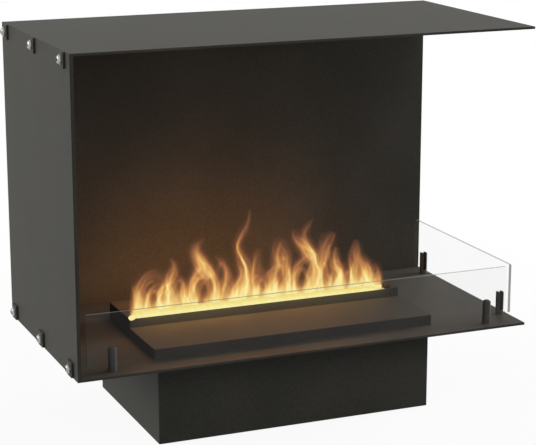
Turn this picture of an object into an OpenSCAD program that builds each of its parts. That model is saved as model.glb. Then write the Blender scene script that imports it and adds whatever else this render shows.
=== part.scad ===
// Free-standing water vapour fireplace: an open corner box on a plinth, with a drop-in vapour insert.
// Places are given from the outer face of the side panel, the front edge of the box and the floor.

/* [Outer box] */
// Width of the box over the side panel, the hearth plate and the top plate
box_w = 800; // [760:10:1000]
// Depth of the box from its front edge to the back of the back panel
box_d = 400; // [390:5:480]
// Height of the box from the underside of the hearth plate to its top face
box_h = 516; // [420:4:640]
// Sheet thickness of the top plate, the hearth plate and the side liner
sheet_t = 4; // [3:0.5:5]
// Sheet thickness of the back panel
back_t = 3; // [2:0.5:4]
// Sheet thickness of the outer side panel
side_t = 2; // [1.5:0.5:3]
// Height of the fixing flanges on the plates and depth of the back panel's top flange
flange_h = 25; // [23:1:30]
// Outside bend radius of the back panel
bend_r = 5; // [4.5:0.5:7]
// Set-back of the back panel's top flange from the side liner, clear of the side nuts
flange_set = 16; // [14:1:24]
// Number of tabs and studs that hold the back panel
back_n = 4; // [2:1:6]
// Width of a back panel's tab
tab_w = 40; // [20:5:60]

/* [Side fasteners] */
// Width and height of a clamp plate
clamp_w = 25; // [20:1:27]
// Thickness of a clamp plate
clamp_t = 4; // [3:0.5:6]
// Corner radius of a clamp plate
clamp_r = 1.5; // [0.5:0.5:3]
// Height of the lower side screws' axes above the side panel's bottom edge
screw_low = 14; // [13.5:0.5:16]
// Depth of the upper side screws' axes below the side panel's top edge
screw_high = 12.7; // [12.5:0.1:16]
// Distance of the first side screw from the front edge
screw_front = 34; // [25:1:60]
// Distance of the last side screw from the back of the box
screw_back = 30; // [25:1:60]
// Number of side screws in each row
screw_n = 3; // [2:1:5]
// Shank diameter of a side screw
screw_d = 8; // [6:1:8]
// Head diameter of a side screw
head_d = 14; // [12:0.5:15]
// Head height of a side screw
head_h = 4.4; // [3.5:0.1:5]
// Width across the flats of a side screw's socket
socket_af = 5; // [4:0.5:6]
// Diameter of the washer under a side screw's head
washer_d = 16; // [15:0.5:18]
// Thickness of the washer under a side screw's head
washer_t = 1.6; // [1:0.2:2]
// Clearance of a screw shank in its hole, on the diameter
hole_play = 0.4; // [0.2:0.1:0.8]

/* [Glass guard] */
// Thickness of the glass
glass_t = 5; // [4:0.5:6]
// Height of both panes
glass_h = 88; // [70:2:150]
// Corner radius of a pane
glass_r = 2; // [1:0.5:4]
// Middle of the front pane behind the front edge of the box
front_glass_y = 25; // [20:1:30]
// Middle of the side pane in from the right edge of the box
side_glass_in = 12.5; // [10:0.5:16]
// Left end of the front pane from the side panel's outer face
front_glass_x = 22; // [16:1:30]
// Gap between the front pane's end and the side pane's inner face
corner_gap = 10.5; // [6:0.5:14]
// Front end of the side pane behind the front edge of the box
side_glass_y = 33; // [31:1:45]
// Gap between the side pane's back end and the back panel
pane_back_gap = 12; // [6:1:20]
// Diameter of a glass post
post_d = 14; // [12:1:16]
// Height of a glass post above the hearth plate
post_h = 40; // [30:1:50]
// Height of a post's solid foot below its slot
post_foot = 8; // [8:0.5:12]
// Chamfer round the top of a post
post_chamfer = 1.2; // [0.6:0.2:2]
// Clearance between the glass and each side of a post's slot
slot_play = 0.5; // [0.3:0.1:0.8]
// Thickness of the pad on which a pane stands in its slot
pad_t = 1; // [0.5:0.5:2]
// Distance of the left front post from the side liner
left_post_in = 58.5; // [50:0.5:90]
// Distance of the right front post from the right edge of the box
right_post_in = 61.5; // [50:0.5:90]
// Distance of the side posts from the side pane's ends
side_post_in = 32; // [20:0.5:60]
// Thread diameter of a post's screw
post_screw_d = 5; // [4:1:5]

/* [Plinth] */
// Distance of the plinth's sides in from the insert's ends
plinth_side = 6; // [0:1:10]
// Depth of the plinth
plinth_d = 309; // [300:1:330]
// Height of the plinth
plinth_h = 142; // [140:2:220]
// Distance of the plinth's front ahead of the insert's front
plinth_ahead = 1; // [0:1:6]
// Sheet thickness of the plinth and its rear cover
plinth_t = 2; // [1.5:0.5:3]
// Width of the plinth's top and bottom flanges
plinth_flange = 18; // [17:0.5:20]
// Width of the plinth's rear returns
return_w = 15; // [12:1:20]
// Thread diameter of the plinth's bolts
bolt_d = 6; // [5:1:6]
// Number of bolts along each side of the plinth
bolt_n = 3; // [2:1:4]
// Distance of the first and the last bolt from the plinth's front and from the insert's back
bolt_in = 30; // [20:1:40]

/* [Rear cover] */
// Number of vent slots in each row
vent_n = 12; // [8:1:16]
// Number of rows of vent slots
vent_rows = 2; // [1:1:3]
// Length of a vent slot
vent_l = 34; // [20:1:40]
// Width of a vent slot
vent_w = 3.4; // [2:0.2:3.8]
// Spacing of the vent slots
vent_pitch = 16; // [10:1:18]
// Diameter of the cover's screws
cover_screw_d = 4; // [3:1:4]

/* [Insert] */
// Width of the tank cover and the vapour head
ins_w = 503; // [500:1:540]
// Front of the tank cover behind the front edge of the box
ins_front = 53; // [46:1:60]
// Depth of the low tank cover
cover_d = 127; // [120:1:150]
// Height of the tank cover above the hearth plate
cover_h = 17; // [14:0.5:24]
// Depth of the raised vapour head
head_dep = 110; // [108:1:125]
// Height of the vapour head above the hearth plate
vapour_h = 32.5; // [28:0.5:44]
// Sheet thickness of the tank cover and the vapour head
trim_t = 1.5; // [1:0.25:2]
// Corner radius of the tank cover and the vapour head
trim_r = 2; // [1:0.5:4]
// Width of the vapour slot
slot_w = 34; // [24:1:40]
// Distance of the vapour slot from the head's front face
slot_in = 3; // [2.5:0.5:8]
// Distance of the vapour slot from each end of the head
slot_end = 12; // [8:1:30]
// Clearance of the tub beside each top flange of the plinth
tub_side = 5.5; // [3:0.5:10]
// Height of the tub's underside above the floor
tub_rise = 18; // [12:1:20]
// Sheet thickness of the tub
tub_t = 1.5; // [1:0.25:2]
// Width of the tub's resting lip at its front and back
tub_lip = 5; // [4:0.5:6]
// Clearance round the tub in the hearth plate
cut_play = 1; // [0.5:0.25:2]
// Gap between neighbouring covers and round the lip
trim_gap = 0.5; // [0.3:0.1:1]

/* [Water tank] */
// Wall of the water tank and of the mist basin
wall_t = 2.5; // [2:0.25:3]
// Clearance of the tank in the tub
tank_play = 2; // [1:0.5:3]
// Height of the tank's underside above the tub's floor
tank_rise = 26; // [24:1:30]
// Corner radius of the tank
tank_r = 8; // [4:1:16]
// Outer diameter of the tank's valve cap
cap_d = 34; // [28:1:38]
// Height of the valve cap below the tank
cap_h = 12; // [10:1:14]
// Diameter of the valve stem
stem_d = 6; // [5:0.5:7]
// Clearance of the valve stem in the cap, on the diameter
stem_play = 0.12; // [0.06:0.02:0.2]
// Lift of the valve stem off its seat while the tank stands in the tub
valve_lift = 3; // [2:0.5:4]

/* [Mist basin] */
// Depth of the mist basin's trough
basin_d = 62; // [50:1:64]
// Thickness of the basin's floor
basin_floor = 6; // [5:0.5:8]
// Height of the sump's walls
sump_h = 20; // [16:1:22]
// Width of the sump
sump_w = 130; // [120:1:160]
// Number of mist discs
disc_n = 4; // [3:1:5]
// Diameter of a mist disc
disc_d = 25; // [20:1:30]
// Spacing of the mist discs
disc_pitch = 96; // [60:1:98]
// Thickness of a mist disc
disc_t = 2; // [1.5:0.5:3]
// Diameter of the float
float_d = 18; // [14:1:22]
// Height of the float
float_h = 8; // [6:1:9]
// Diameter of the float's guide rod
guide_d = 5; // [4:0.5:6]
// Travel of the float
float_travel = 6; // [4:1:6]

/* [Fan] */
// Width and height of the fan's frame
fan_w = 60; // [50:1:60]
// Depth of the fan's frame
fan_dep = 25; // [20:1:25]
// Number of fan blades
blade_n = 7; // [5:1:9]
// Diameter of the fan's hub
hub_d = 26; // [20:1:30]
// Diameter of the fan's shaft
shaft_d = 3; // [2.5:0.5:4]
// Clearance of the fan's shaft, on the diameter
shaft_play = 0.1; // [0.04:0.02:0.16]
// Gap between the blade tips and the frame
tip_gap = 1; // [0.5:0.25:1.5]

/* [Switch and inlet] */
// Width of the power inlet's face
inlet_w = 32; // [30:0.5:36]
// Height of the power inlet's face
inlet_h = 25; // [23:0.5:28]
// Width of the rocker switch's frame
rocker_frame_w = 15; // [14:0.5:20]
// Height of the rocker switch's frame
rocker_frame_h = 21; // [20:0.5:26]
// Turn of the rocker from one stop to the other
rocker_turn = 20; // [12:1:22]
// Diameter of the rocker's pivot
pivot_d = 3; // [2:0.5:3.5]
// Clearance of the rocker's pivot, on the diameter
pivot_play = 0.1; // [0.04:0.02:0.16]

/* [Hidden] */
$fn = 64;
eps = 0.01;

// Frame: the middle of the whole outline stands on the origin
head_x = clamp_t + washer_t;
side_out = head_x + head_h;
x_left = -(box_w - side_out) / 2;
y_front = -box_d / 2;

// Nuts of the side screws and heads of the plinth's bolts
nut_af = 13;
nut_h = 6.5;
screw_past = 1.5;
bolt_af = 10;
bolt_head_h = 4;

// Levels and faces of the box
plinth_w = ins_w - 2 * plinth_side;
plinth_in = ins_front - plinth_ahead;
hearth_z = plinth_h + sheet_t;
roof_z = plinth_h + box_h - sheet_t;
wall_y = box_d - back_t;
in_x = side_t + sheet_t;
shelf_w = box_w - side_t;

// Studs and tabs of the back panel
back_in = 60;
stud_d = 5;
stud_l = 8;

// Panes and posts
side_pane_x = box_w - side_glass_in - glass_t / 2;
front_pane_end = side_pane_x - corner_gap;
pane_z = hearth_z + post_foot + pad_t;
side_pane_end = wall_y - pane_back_gap;
post_places = [
  [in_x + left_post_in, front_glass_y, 0],
  [box_w - right_post_in, front_glass_y, 0],
  [box_w - side_glass_in, side_glass_y + side_post_in, 90],
  [box_w - side_glass_in, side_pane_end - side_post_in, 90]
];

// Insert, centred between the side liner and the side pane
ins_cx = (in_x + side_pane_x) / 2;
ins_x = ins_cx - ins_w / 2;
head_y = ins_front + cover_d;
ins_back = head_y + head_dep;
slot_y = head_y + slot_in;
slot_l = ins_w - 2 * slot_end;
lip_in = trim_t + trim_gap;
tub_w = plinth_w - 2 * (plinth_t + plinth_flange + tub_side);
tub_x = ins_cx - tub_w / 2;
tub_y = ins_front + lip_in + tub_lip;
tub_d = ins_back - ins_front - 2 * (lip_in + tub_lip);
tub_z = tub_rise;
tub_dep = hearth_z - tub_z;
floor_z = tub_z + tub_t;
tub_in_y = tub_y + tub_t;
tub_back_y = tub_y + tub_d - tub_t;

// Water tank, carried by its cover
tank_x = tub_x + tub_t + tank_play;
tank_w = tub_w - 2 * (tub_t + tank_play);
tank_y = tub_in_y + tank_play;
tank_d = head_y - tank_play - tank_y;
tank_z = floor_z + tank_rise;
tank_top = hearth_z + cover_h - trim_t;
valve_x = ins_cx;
valve_y = tank_y + tank_d / 2;
neck_d = cap_d - 8;
stem_low = 2;
stem_cap = 2;
cap_floor = 3;
port_r = 8.5;
port_d = 4;
seal_d = 2 * port_r + port_d + 2;
seal_h = 2;
seat_gap = 0.3;
cap_z = tank_z - cap_h;

// Mist basin behind the tank
basin_play = 1;
basin_x = tub_x + tub_t + basin_play;
basin_w = tub_w - 2 * (tub_t + basin_play);
basin_y = head_y + basin_play;
basin_top = hearth_z - trim_gap;
pass_w = 40;
pass_h = 8;
sump_y = valve_y - cap_d / 2 - 8;
disc_y = basin_y + basin_d / 2;
disc_seal_t = 1;
disc_z = floor_z + basin_floor - disc_t - disc_seal_t;
guide_x = ins_cx + sump_w / 2 - float_d / 2 - 8;
guide_z = floor_z + basin_floor / 2;
guide_foot = 1.5;
guide_top = guide_foot + float_h + float_travel + 0.5;
guide_cap = 1.5;
float_play = 0.8;
float_z = guide_z + guide_foot;

// Fan on the back of the basin
fan_y = basin_y + basin_d;
fan_x = ins_cx - 70;
fan_z = floor_z + 72;
fan_bore = fan_w - 4;
fan_screw_d = 4;
fan_screw_in = 5;
motor_d = 24;
motor_t = 4;
strut_w = 3;
grille_n = 8;
grille_pitch = 7;
grille_w = 3;
grille_h = 44;

// Power supply and control board on the tub's back wall
supply_w = 130;
supply_d = 30;
supply_h = 52;
supply_off = 35;
supply_r = 3;
cool_n = 10;
cool_pitch = 11;
cool_w = 4;
cool_dep = 2;
board_w = 92;
board_h = 60;
board_t = 1.6;
board_off = 6.5;
board_in = 12;
board_rise = 20;
standoff_d = 6;
standoff_in = 5;
relay = [19, 15, 15];
transformer = [30, 14, 26];
terminals = [50, 9, 8];
capacitor_d = 10;
capacitor_l = 15;
capacitor_pitch = 14;

// Parts on the rear cover
plinth_x = ins_cx - plinth_w / 2;
plinth_back = plinth_in + plinth_d;
port_z = 46;
port_play = 0.4;
inlet_in = 80.5;
switch_off = 44;
inlet_x = plinth_x + plinth_w - inlet_in;
inlet_rim = 3;
switch_x = inlet_x + switch_off;
switch_rim = 1.4;
pivot_y = plinth_back - 4;
gland_x = inlet_x + 22;
gland_d = 14;
vent_in = 200;
vent_z = 24;
vent_gap = 12;
cover_screw_in = 20;

// Light bar along the back of the slot
bar_y = slot_y + slot_w + trim_gap;
bar_w = 12;
bar_h = 11;
bar_z = hearth_z + vapour_h - trim_t - bar_h;
bar_t = 1.5;
lens_t = 3;

black = [0.07, 0.07, 0.068];
steel_black = [0.15, 0.15, 0.145];
zinc = [0.78, 0.79, 0.8];
bright = [0.86, 0.87, 0.88];
smoke = [0.32, 0.34, 0.36];

function row(i, n, first, last) = n < 2 ? (first + last) / 2 : first + i * (last - first) / (n - 1);
function bolt_y(i) = row(i, bolt_n, plinth_in + bolt_in, ins_back - bolt_in);
function back_x(i) = row(i, back_n, in_x + back_in, box_w - back_in);
function disc_x(i) = ins_cx + (i - (disc_n - 1) / 2) * disc_pitch;

// Children placed from the panel's outer face, the front edge and the floor
module at(x, y, z) {
  translate([x_left + x, y_front + y, z]) children();
}

module slab(x, y, z, size) {
  at(x, y, z) cube(size);
}

module rod_x(d, l) {
  rotate([0, 90, 0]) cylinder(d = d, h = l);
}

module rod_y(d, l) {
  rotate([-90, 0, 0]) cylinder(d = d, h = l);
}

module rounded(w, d, r) {
  translate([r, 0]) square([w - 2 * r, d]);
  translate([0, r]) square([w, d - 2 * r]);
  for (x = [r, w - r]) {
    for (y = [r, d - r]) translate([x, y]) circle(r);
  }
}

module rounded_block(w, d, h, r) {
  linear_extrude(h) rounded(w, d, r);
}

// A pane standing in the XZ plane
module pane(l) {
  translate([0, glass_t, 0]) rotate([90, 0, 0]) rounded_block(l, glass_h, glass_t, glass_r);
}

module hex_nut(d, af, h) {
  difference() {
    cylinder(d = af / cos(30), h = h, $fn = 6);
    translate([0, 0, -1]) cylinder(d = d, h = h + 2);
  }
}

// Button head with a hexagon socket, its shank along +Z from the head's seat
module button_screw(d, l, hd, hh, af) {
  crown_r = af * 0.8;
  dome_y = (hd * hd / 4 - crown_r * crown_r - hh * hh) / (2 * hh);
  dome_r = sqrt(hd * hd / 4 + dome_y * dome_y);
  difference() {
    union() {
      cylinder(d = d, h = l);
      rotate_extrude() {
        intersection() {
          translate([0, -hh]) square([hd / 2, hh]);
          translate([0, dome_y]) circle(dome_r);
        }
      }
    }
    translate([0, 0, -hh - 1]) cylinder(d = af / cos(30), h = hh * 0.6 + 1, $fn = 6);
  }
}

// Countersunk screw whose head lies flush at z = 0, its shank along +Z
module flush_screw(d, l) {
  difference() {
    union() {
      cylinder(d = d, h = l);
      cylinder(d1 = 2 * d, d2 = d, h = d / 2);
    }
    translate([0, 0, -1]) cylinder(d = d * 0.6, h = 1 + d * 0.3, $fn = 6);
  }
}

module flush_hole(d, l) {
  translate([0, 0, -eps]) cylinder(d = d + hole_play, h = l + 2 * eps);
  translate([0, 0, -eps]) cylinder(d1 = 2 * d + hole_play, d2 = d, h = d / 2 + hole_play);
}

// Pan head screw with its head's seat at z = 0 and its shank along +Z
module pan_screw(d, l) {
  difference() {
    union() {
      cylinder(d = d, h = l);
      translate([0, 0, -d * 0.6]) cylinder(d1 = d * 1.6, d2 = d * 2, h = d * 0.6);
    }
    translate([0, 0, -d * 0.6 - 1]) cylinder(d = d * 0.55, h = 1 + d * 0.35, $fn = 6);
  }
}

module at_side_screws() {
  for (i = [0 : screw_n - 1]) {
    for (z = [plinth_h + screw_low, plinth_h + box_h - screw_high]) {
      at(0, row(i, screw_n, screw_front, box_d - screw_back), z) children();
    }
  }
}

module side_holes(d) {
  at_side_screws() translate([-1, 0, 0]) rod_x(d, in_x + 2);
}

module at_plinth_bolts() {
  for (i = [0 : bolt_n - 1]) {
    for (s = [-1, 1]) {
      at(ins_cx + s * (plinth_w / 2 - plinth_t - plinth_flange / 2), bolt_y(i), 0) children();
    }
  }
}

module hearth_plate() {
  color(steel_black) difference() {
    union() {
      slab(side_t, 0, plinth_h, [shelf_w, box_d, sheet_t]);
      slab(side_t, 0, plinth_h, [sheet_t, box_d, sheet_t + flange_h]);
    }
    slab(tub_x - cut_play, tub_y - cut_play, plinth_h - 1,
      [tub_w + 2 * cut_play, tub_d + 2 * cut_play, sheet_t + 2]);
    side_holes(screw_d);
    for (p = post_places) at(p[0], p[1], plinth_h) flush_hole(post_screw_d, sheet_t);
    for (i = [0 : back_n - 1]) {
      slab(back_x(i) - tab_w / 2 - trim_gap, wall_y - trim_gap, plinth_h - 1,
        [tab_w + 2 * trim_gap, back_t + trim_gap + 1, sheet_t + 2]);
    }
    at_plinth_bolts() translate([0, 0, plinth_h - 1]) cylinder(d = bolt_d, h = sheet_t + 2);
  }
}

module top_plate() {
  color(steel_black) difference() {
    union() {
      slab(side_t, 0, roof_z, [shelf_w, box_d, sheet_t]);
      slab(side_t, 0, roof_z - flange_h, [sheet_t, box_d, flange_h + sheet_t]);
      at_back_studs() translate([0, 0, -back_t - stud_l]) cylinder(d = stud_d, h = back_t + stud_l);
    }
    side_holes(screw_d);
  }
}

module side_panel() {
  color(steel_black) difference() {
    slab(0, 0, plinth_h, [side_t, box_d, box_h]);
    side_holes(screw_d + hole_play);
  }
}

module side_liner() {
  color(black) slab(side_t, 0, hearth_z + flange_h, [sheet_t, box_d, roof_z - hearth_z - 2 * flange_h]);
}

module at_back_studs() {
  for (i = [0 : back_n - 1]) at(back_x(i), wall_y - flange_h / 2, roof_z) children();
}

// Section of the back panel, with Y to the right and Z up
module back_section() {
  h = roof_z - hearth_z;
  square([back_t, h - bend_r]);
  translate([-flange_h, h - back_t]) square([flange_h + back_t - bend_r, back_t]);
  translate([back_t - bend_r, h - bend_r]) intersection() {
    difference() {
      circle(bend_r);
      circle(bend_r - back_t);
    }
    square(bend_r);
  }
}

module back_panel() {
  color(steel_black) difference() {
    union() {
      at(in_x, wall_y, hearth_z) rotate([90, 0, 90]) linear_extrude(box_w - in_x) back_section();
      for (i = [0 : back_n - 1]) slab(back_x(i) - tab_w / 2, wall_y, plinth_h, [tab_w, back_t, sheet_t + 1]);
    }
    at_back_studs() translate([0, 0, -back_t - 1]) cylinder(d = stud_d + hole_play, h = back_t + 2);
    slab(in_x - 1, wall_y - flange_h - 1, roof_z - back_t - 1,
      [flange_set + 1, flange_h + 1 + back_t - bend_r, back_t + 2]);
  }
}

module back_nuts() {
  color(zinc) at_back_studs() translate([0, 0, -back_t - stud_d * 0.8]) {
    hex_nut(stud_d, stud_d * 1.6, stud_d * 0.8);
  }
}

module clamp_plates() {
  color(steel_black) at_side_screws() difference() {
    translate([-clamp_t, -clamp_w / 2, -clamp_w / 2]) rotate([90, 0, 90]) {
      rounded_block(clamp_w, clamp_w, clamp_t, clamp_r);
    }
    translate([-clamp_t - 1, 0, 0]) rod_x(screw_d + hole_play, clamp_t + 2);
  }
}

module side_screws() {
  color(bright) at_side_screws() {
    translate([-head_x, 0, 0]) rotate([0, 90, 0]) {
      button_screw(screw_d, head_x + in_x + nut_h + screw_past, head_d, head_h, socket_af);
    }
  }
}

module side_washers() {
  color(bright) at_side_screws() translate([-head_x, 0, 0]) difference() {
    rod_x(washer_d, washer_t);
    translate([-1, 0, 0]) rod_x(screw_d + hole_play, washer_t + 2);
  }
}

module side_nuts() {
  color(zinc) at_side_screws() translate([in_x, 0, 0]) rotate([30, 0, 0]) rotate([0, 90, 0]) {
    hex_nut(screw_d, nut_af, nut_h);
  }
}

module plinth_shell() {
  w = plinth_w - 2 * plinth_t;
  inner_x = plinth_x + plinth_t;
  inner_y = plinth_in + plinth_t;
  color(black) difference() {
    union() {
      difference() {
        at(plinth_x, plinth_in, 0) rounded_block(plinth_w, plinth_d + 2 * plinth_t, plinth_h, plinth_t);
        slab(inner_x, inner_y, -1, [w, plinth_d + 10, plinth_h + 2]);
        slab(plinth_x - 1, plinth_back, -1, [plinth_w + 2, 10, plinth_h + 2]);
      }
      for (s = [0, 1]) {
        slab(inner_x + s * (w - plinth_flange), inner_y, plinth_h - plinth_t,
          [plinth_flange, plinth_d - plinth_t, plinth_t]);
        slab(inner_x + s * (w - plinth_flange), inner_y, 0,
          [plinth_flange, plinth_d - plinth_t, plinth_t]);
        slab(inner_x + s * (w - return_w), plinth_back - 2 * plinth_t, 0, [return_w, plinth_t, plinth_h]);
      }
      slab(inner_x, inner_y, 0, [w, plinth_flange, plinth_t]);
    }
    at_plinth_bolts() translate([0, 0, plinth_h - plinth_t - 1]) {
      cylinder(d = bolt_d + hole_play, h = plinth_t + 2);
    }
    at_cover_screws() translate([0, -2 * plinth_t - 1, 0]) rod_y(cover_screw_d, 2 * plinth_t);
    slab(inner_x, plinth_back - plinth_t, -1, [w, plinth_t + 1, plinth_h + 2]);
  }
}

module plinth_bolts() {
  color(zinc) at_plinth_bolts() translate([0, 0, plinth_h - plinth_t]) {
    cylinder(d = bolt_d, h = plinth_t + sheet_t);
    translate([0, 0, -bolt_head_h]) cylinder(d = bolt_af / cos(30), h = bolt_head_h, $fn = 6);
  }
}

module at_cover_screws() {
  for (s = [-1, 1]) {
    for (z = [cover_screw_in, plinth_h / 2, plinth_h - cover_screw_in]) {
      at(ins_cx + s * (plinth_w / 2 - plinth_t - return_w / 2), plinth_back, z) children();
    }
  }
}

// Cut in the rear cover for a body that stands in by its rim from its face's outline
module port_cut(x, w, h, rim) {
  in = rim - port_play;
  slab(x - w / 2 + in, plinth_back - plinth_t - 1, port_z - h / 2 + in,
    [w - 2 * in, plinth_t + 2, h - 2 * in]);
}

module rear_cover() {
  w = plinth_w - 2 * plinth_t - 2 * trim_gap;
  color(black) difference() {
    slab(plinth_x + plinth_t + trim_gap, plinth_back - plinth_t, trim_gap,
      [w, plinth_t, plinth_h - 2 * trim_gap]);
    for (r = [0 : vent_rows - 1]) {
      for (i = [0 : vent_n - 1]) {
        at(ins_cx - vent_in + i * vent_pitch, plinth_back - plinth_t - 1, vent_z + r * (vent_l + vent_gap)) {
          rotate([90, 0, 0]) translate([0, 0, -plinth_t - 2]) {
            rounded_block(vent_w, vent_l, plinth_t + 2, vent_w / 2 - eps);
          }
        }
      }
    }
    port_cut(inlet_x, inlet_w, inlet_h, inlet_rim);
    port_cut(switch_x, rocker_frame_w, rocker_frame_h, switch_rim);
    at_cover_screws() translate([0, -plinth_t - 1, 0]) rod_y(cover_screw_d + hole_play, plinth_t + 2);
  }
}

module cover_screws() {
  color(zinc) at_cover_screws() rotate([90, 0, 0]) pan_screw(cover_screw_d, 3 * plinth_t);
}

module glass_post() {
  difference() {
    rotate_extrude() polygon([
      [0, 0], [post_d / 2, 0], [post_d / 2, post_h - post_chamfer],
      [post_d / 2 - post_chamfer, post_h], [0, post_h]
    ]);
    translate([-post_d, -glass_t / 2 - slot_play, post_foot]) {
      cube([2 * post_d, glass_t + 2 * slot_play, post_h]);
    }
    translate([0, 0, -1]) cylinder(d = post_screw_d, h = post_foot - 1);
  }
}

module glass_posts() {
  color(black) for (p = post_places) at(p[0], p[1], hearth_z) rotate([0, 0, p[2]]) glass_post();
}

module post_screws() {
  color(zinc) for (p = post_places) {
    at(p[0], p[1], plinth_h) flush_screw(post_screw_d, sheet_t + post_foot - 2.5);
  }
}

module post_pads() {
  color([0.1, 0.1, 0.1]) for (p = post_places) {
    at(p[0], p[1], hearth_z + post_foot) rotate([0, 0, p[2]]) intersection() {
      cylinder(d = post_d - 1, h = pad_t);
      translate([-post_d, -glass_t / 2, 0]) cube([2 * post_d, glass_t, pad_t]);
    }
  }
}

module front_glass() {
  color([0.8, 0.86, 0.86, 0.3]) at(front_glass_x, front_glass_y - glass_t / 2, pane_z) {
    pane(front_pane_end - front_glass_x);
  }
}

module side_glass() {
  color([0.8, 0.86, 0.86, 0.3]) at(side_pane_x + glass_t, side_glass_y, pane_z) {
    rotate([0, 0, 90]) pane(side_pane_end - side_glass_y);
  }
}

module insert_tub() {
  color(zinc) difference() {
    union() {
      slab(tub_x, tub_y, tub_z, [tub_w, tub_d, tub_dep]);
      slab(ins_x + lip_in, tub_y - tub_lip, hearth_z, [ins_w - 2 * lip_in, tub_d + 2 * tub_lip, tub_t]);
    }
    slab(tub_x + tub_t, tub_in_y, floor_z, [tub_w - 2 * tub_t, tub_d - 2 * tub_t, tub_dep + 10]);
    for (i = [0 : grille_n - 1]) {
      x = fan_x + (i - (grille_n - 1) / 2) * grille_pitch;
      slab(x - grille_w / 2, tub_back_y - 1, fan_z - grille_h / 2, [grille_w, tub_t + 2, grille_h]);
    }
    at(gland_x, tub_back_y - 1, port_z) rod_y(gland_d, tub_t + 2);
  }
}

module vapour_head() {
  color(steel_black) difference() {
    at(ins_x, head_y, hearth_z) rounded_block(ins_w, head_dep, vapour_h, trim_r);
    at(ins_x + trim_t, head_y + trim_t, hearth_z - 1) {
      rounded_block(ins_w - 2 * trim_t, head_dep - 2 * trim_t, vapour_h - trim_t + 1, trim_r - trim_t + 0.2);
    }
    slab(ins_x + trim_t, head_y - 1, hearth_z - 1, [ins_w - 2 * trim_t, trim_t + 2, tub_t + trim_gap + 1]);
    at(ins_x + slot_end, slot_y, hearth_z + vapour_h - trim_t - 1) {
      rounded_block(slot_l, slot_w, trim_t + 2, trim_r);
    }
  }
}

// Channel that carries the light strip behind the slot
module light_bar() {
  color([0.7, 0.71, 0.72]) at(ins_x + slot_end, bar_y, bar_z) {
    rotate([90, 0, 90]) linear_extrude(slot_l) difference() {
      square([bar_w, bar_h]);
      translate([-1, bar_t]) square([bar_w - bar_t + 1, bar_h - 2 * bar_t]);
    }
  }
}

module light_lens() {
  h = bar_h - 2 * bar_t;
  color([0.95, 0.9, 0.8]) at(ins_x + slot_end + 1, bar_y + bar_w - bar_t - lens_t, bar_z + bar_t) {
    rotate([90, 0, 90]) linear_extrude(slot_l - 2) {
      square([lens_t, h]);
      intersection() {
        translate([0, h / 2]) circle(h / 2);
        translate([-h, 0]) square([h + 1, h]);
      }
    }
  }
}

module tank_cover() {
  d = cover_d - trim_gap;
  color(steel_black) difference() {
    at(ins_x, ins_front, hearth_z) {
      linear_extrude(cover_h) {
        rounded(ins_w, d - trim_r, trim_r);
        translate([0, trim_r]) square([ins_w, d - trim_r]);
      }
    }
    slab(ins_x + trim_t, ins_front + trim_t, hearth_z - 1,
      [ins_w - 2 * trim_t, cover_d, cover_h - trim_t + 1]);
  }
}

module water_tank() {
  h = tank_top - tank_z;
  color(smoke) difference() {
    at(tank_x, tank_y, tank_z) rounded_block(tank_w, tank_d, h, tank_r);
    at(tank_x + wall_t, tank_y + wall_t, tank_z + wall_t) {
      rounded_block(tank_w - 2 * wall_t, tank_d - 2 * wall_t, h - 2 * wall_t, tank_r - wall_t + 1);
    }
    at(valve_x, valve_y, tank_z - 1) cylinder(d = neck_d, h = wall_t + 2);
  }
}

module valve_cap() {
  color([0.12, 0.3, 0.55]) at(valve_x, valve_y, cap_z) difference() {
    union() {
      cylinder(d = cap_d, h = cap_h);
      for (i = [0 : 11]) rotate([0, 0, i * 30]) translate([cap_d / 2, 0, 0]) cylinder(d = 1.6, h = cap_h);
    }
    translate([0, 0, cap_floor]) cylinder(d = neck_d + 2, h = cap_h);
    translate([0, 0, -1]) cylinder(d = stem_d + stem_play, h = cap_floor + 2);
    for (i = [0 : 2]) {
      rotate([0, 0, i * 120]) translate([port_r, 0, -1]) cylinder(d = port_d, h = cap_floor + 2);
    }
  }
}

module valve_stem() {
  seal_z = stem_low + cap_floor + valve_lift;
  color([0.85, 0.85, 0.82]) at(valve_x, valve_y, cap_z - stem_low) {
    cylinder(d = stem_d, h = seal_z + seal_h);
    translate([0, 0, seal_z + seal_h]) cylinder(d = seal_d - 6, h = stem_cap);
  }
}

module valve_seal() {
  color([0.1, 0.1, 0.1]) at(valve_x, valve_y, cap_z + cap_floor + valve_lift) difference() {
    cylinder(d = seal_d, h = seal_h);
    translate([0, 0, -1]) cylinder(d = stem_d, h = seal_h + 2);
  }
}

module mist_basin() {
  sump_d = basin_y + wall_t - sump_y;
  post_top = cap_z - stem_low - seat_gap;
  color([0.62, 0.64, 0.66]) difference() {
    union() {
      slab(basin_x, basin_y, floor_z, [basin_w, basin_d, basin_top - floor_z]);
      slab(ins_cx - sump_w / 2, sump_y, floor_z, [sump_w, sump_d, sump_h]);
    }
    slab(basin_x + wall_t, basin_y + wall_t, floor_z + basin_floor,
      [basin_w - 2 * wall_t, basin_d - 2 * wall_t, basin_top]);
    difference() {
      slab(ins_cx - sump_w / 2 + wall_t, sump_y + wall_t, floor_z + basin_floor / 2,
        [sump_w - 2 * wall_t, sump_d - 2 * wall_t + eps, sump_h]);
      at(valve_x, valve_y, floor_z) cylinder(d = stem_d + 2, h = post_top - floor_z);
    }
    slab(ins_cx - pass_w / 2, basin_y - 1, floor_z + basin_floor, [pass_w, wall_t + 2, pass_h]);
    at_discs() cylinder(d = disc_d + 1, h = basin_floor);
    at(fan_x, basin_y + basin_d - wall_t - 1, fan_z) rod_y(fan_bore - 2, wall_t + 2);
    at_fan_screws() translate([0, -wall_t - 1, 0]) rod_y(fan_screw_d, wall_t + 2);
  }
}

module at_discs() {
  for (i = [0 : disc_n - 1]) at(disc_x(i), disc_y, disc_z) children();
}

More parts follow.
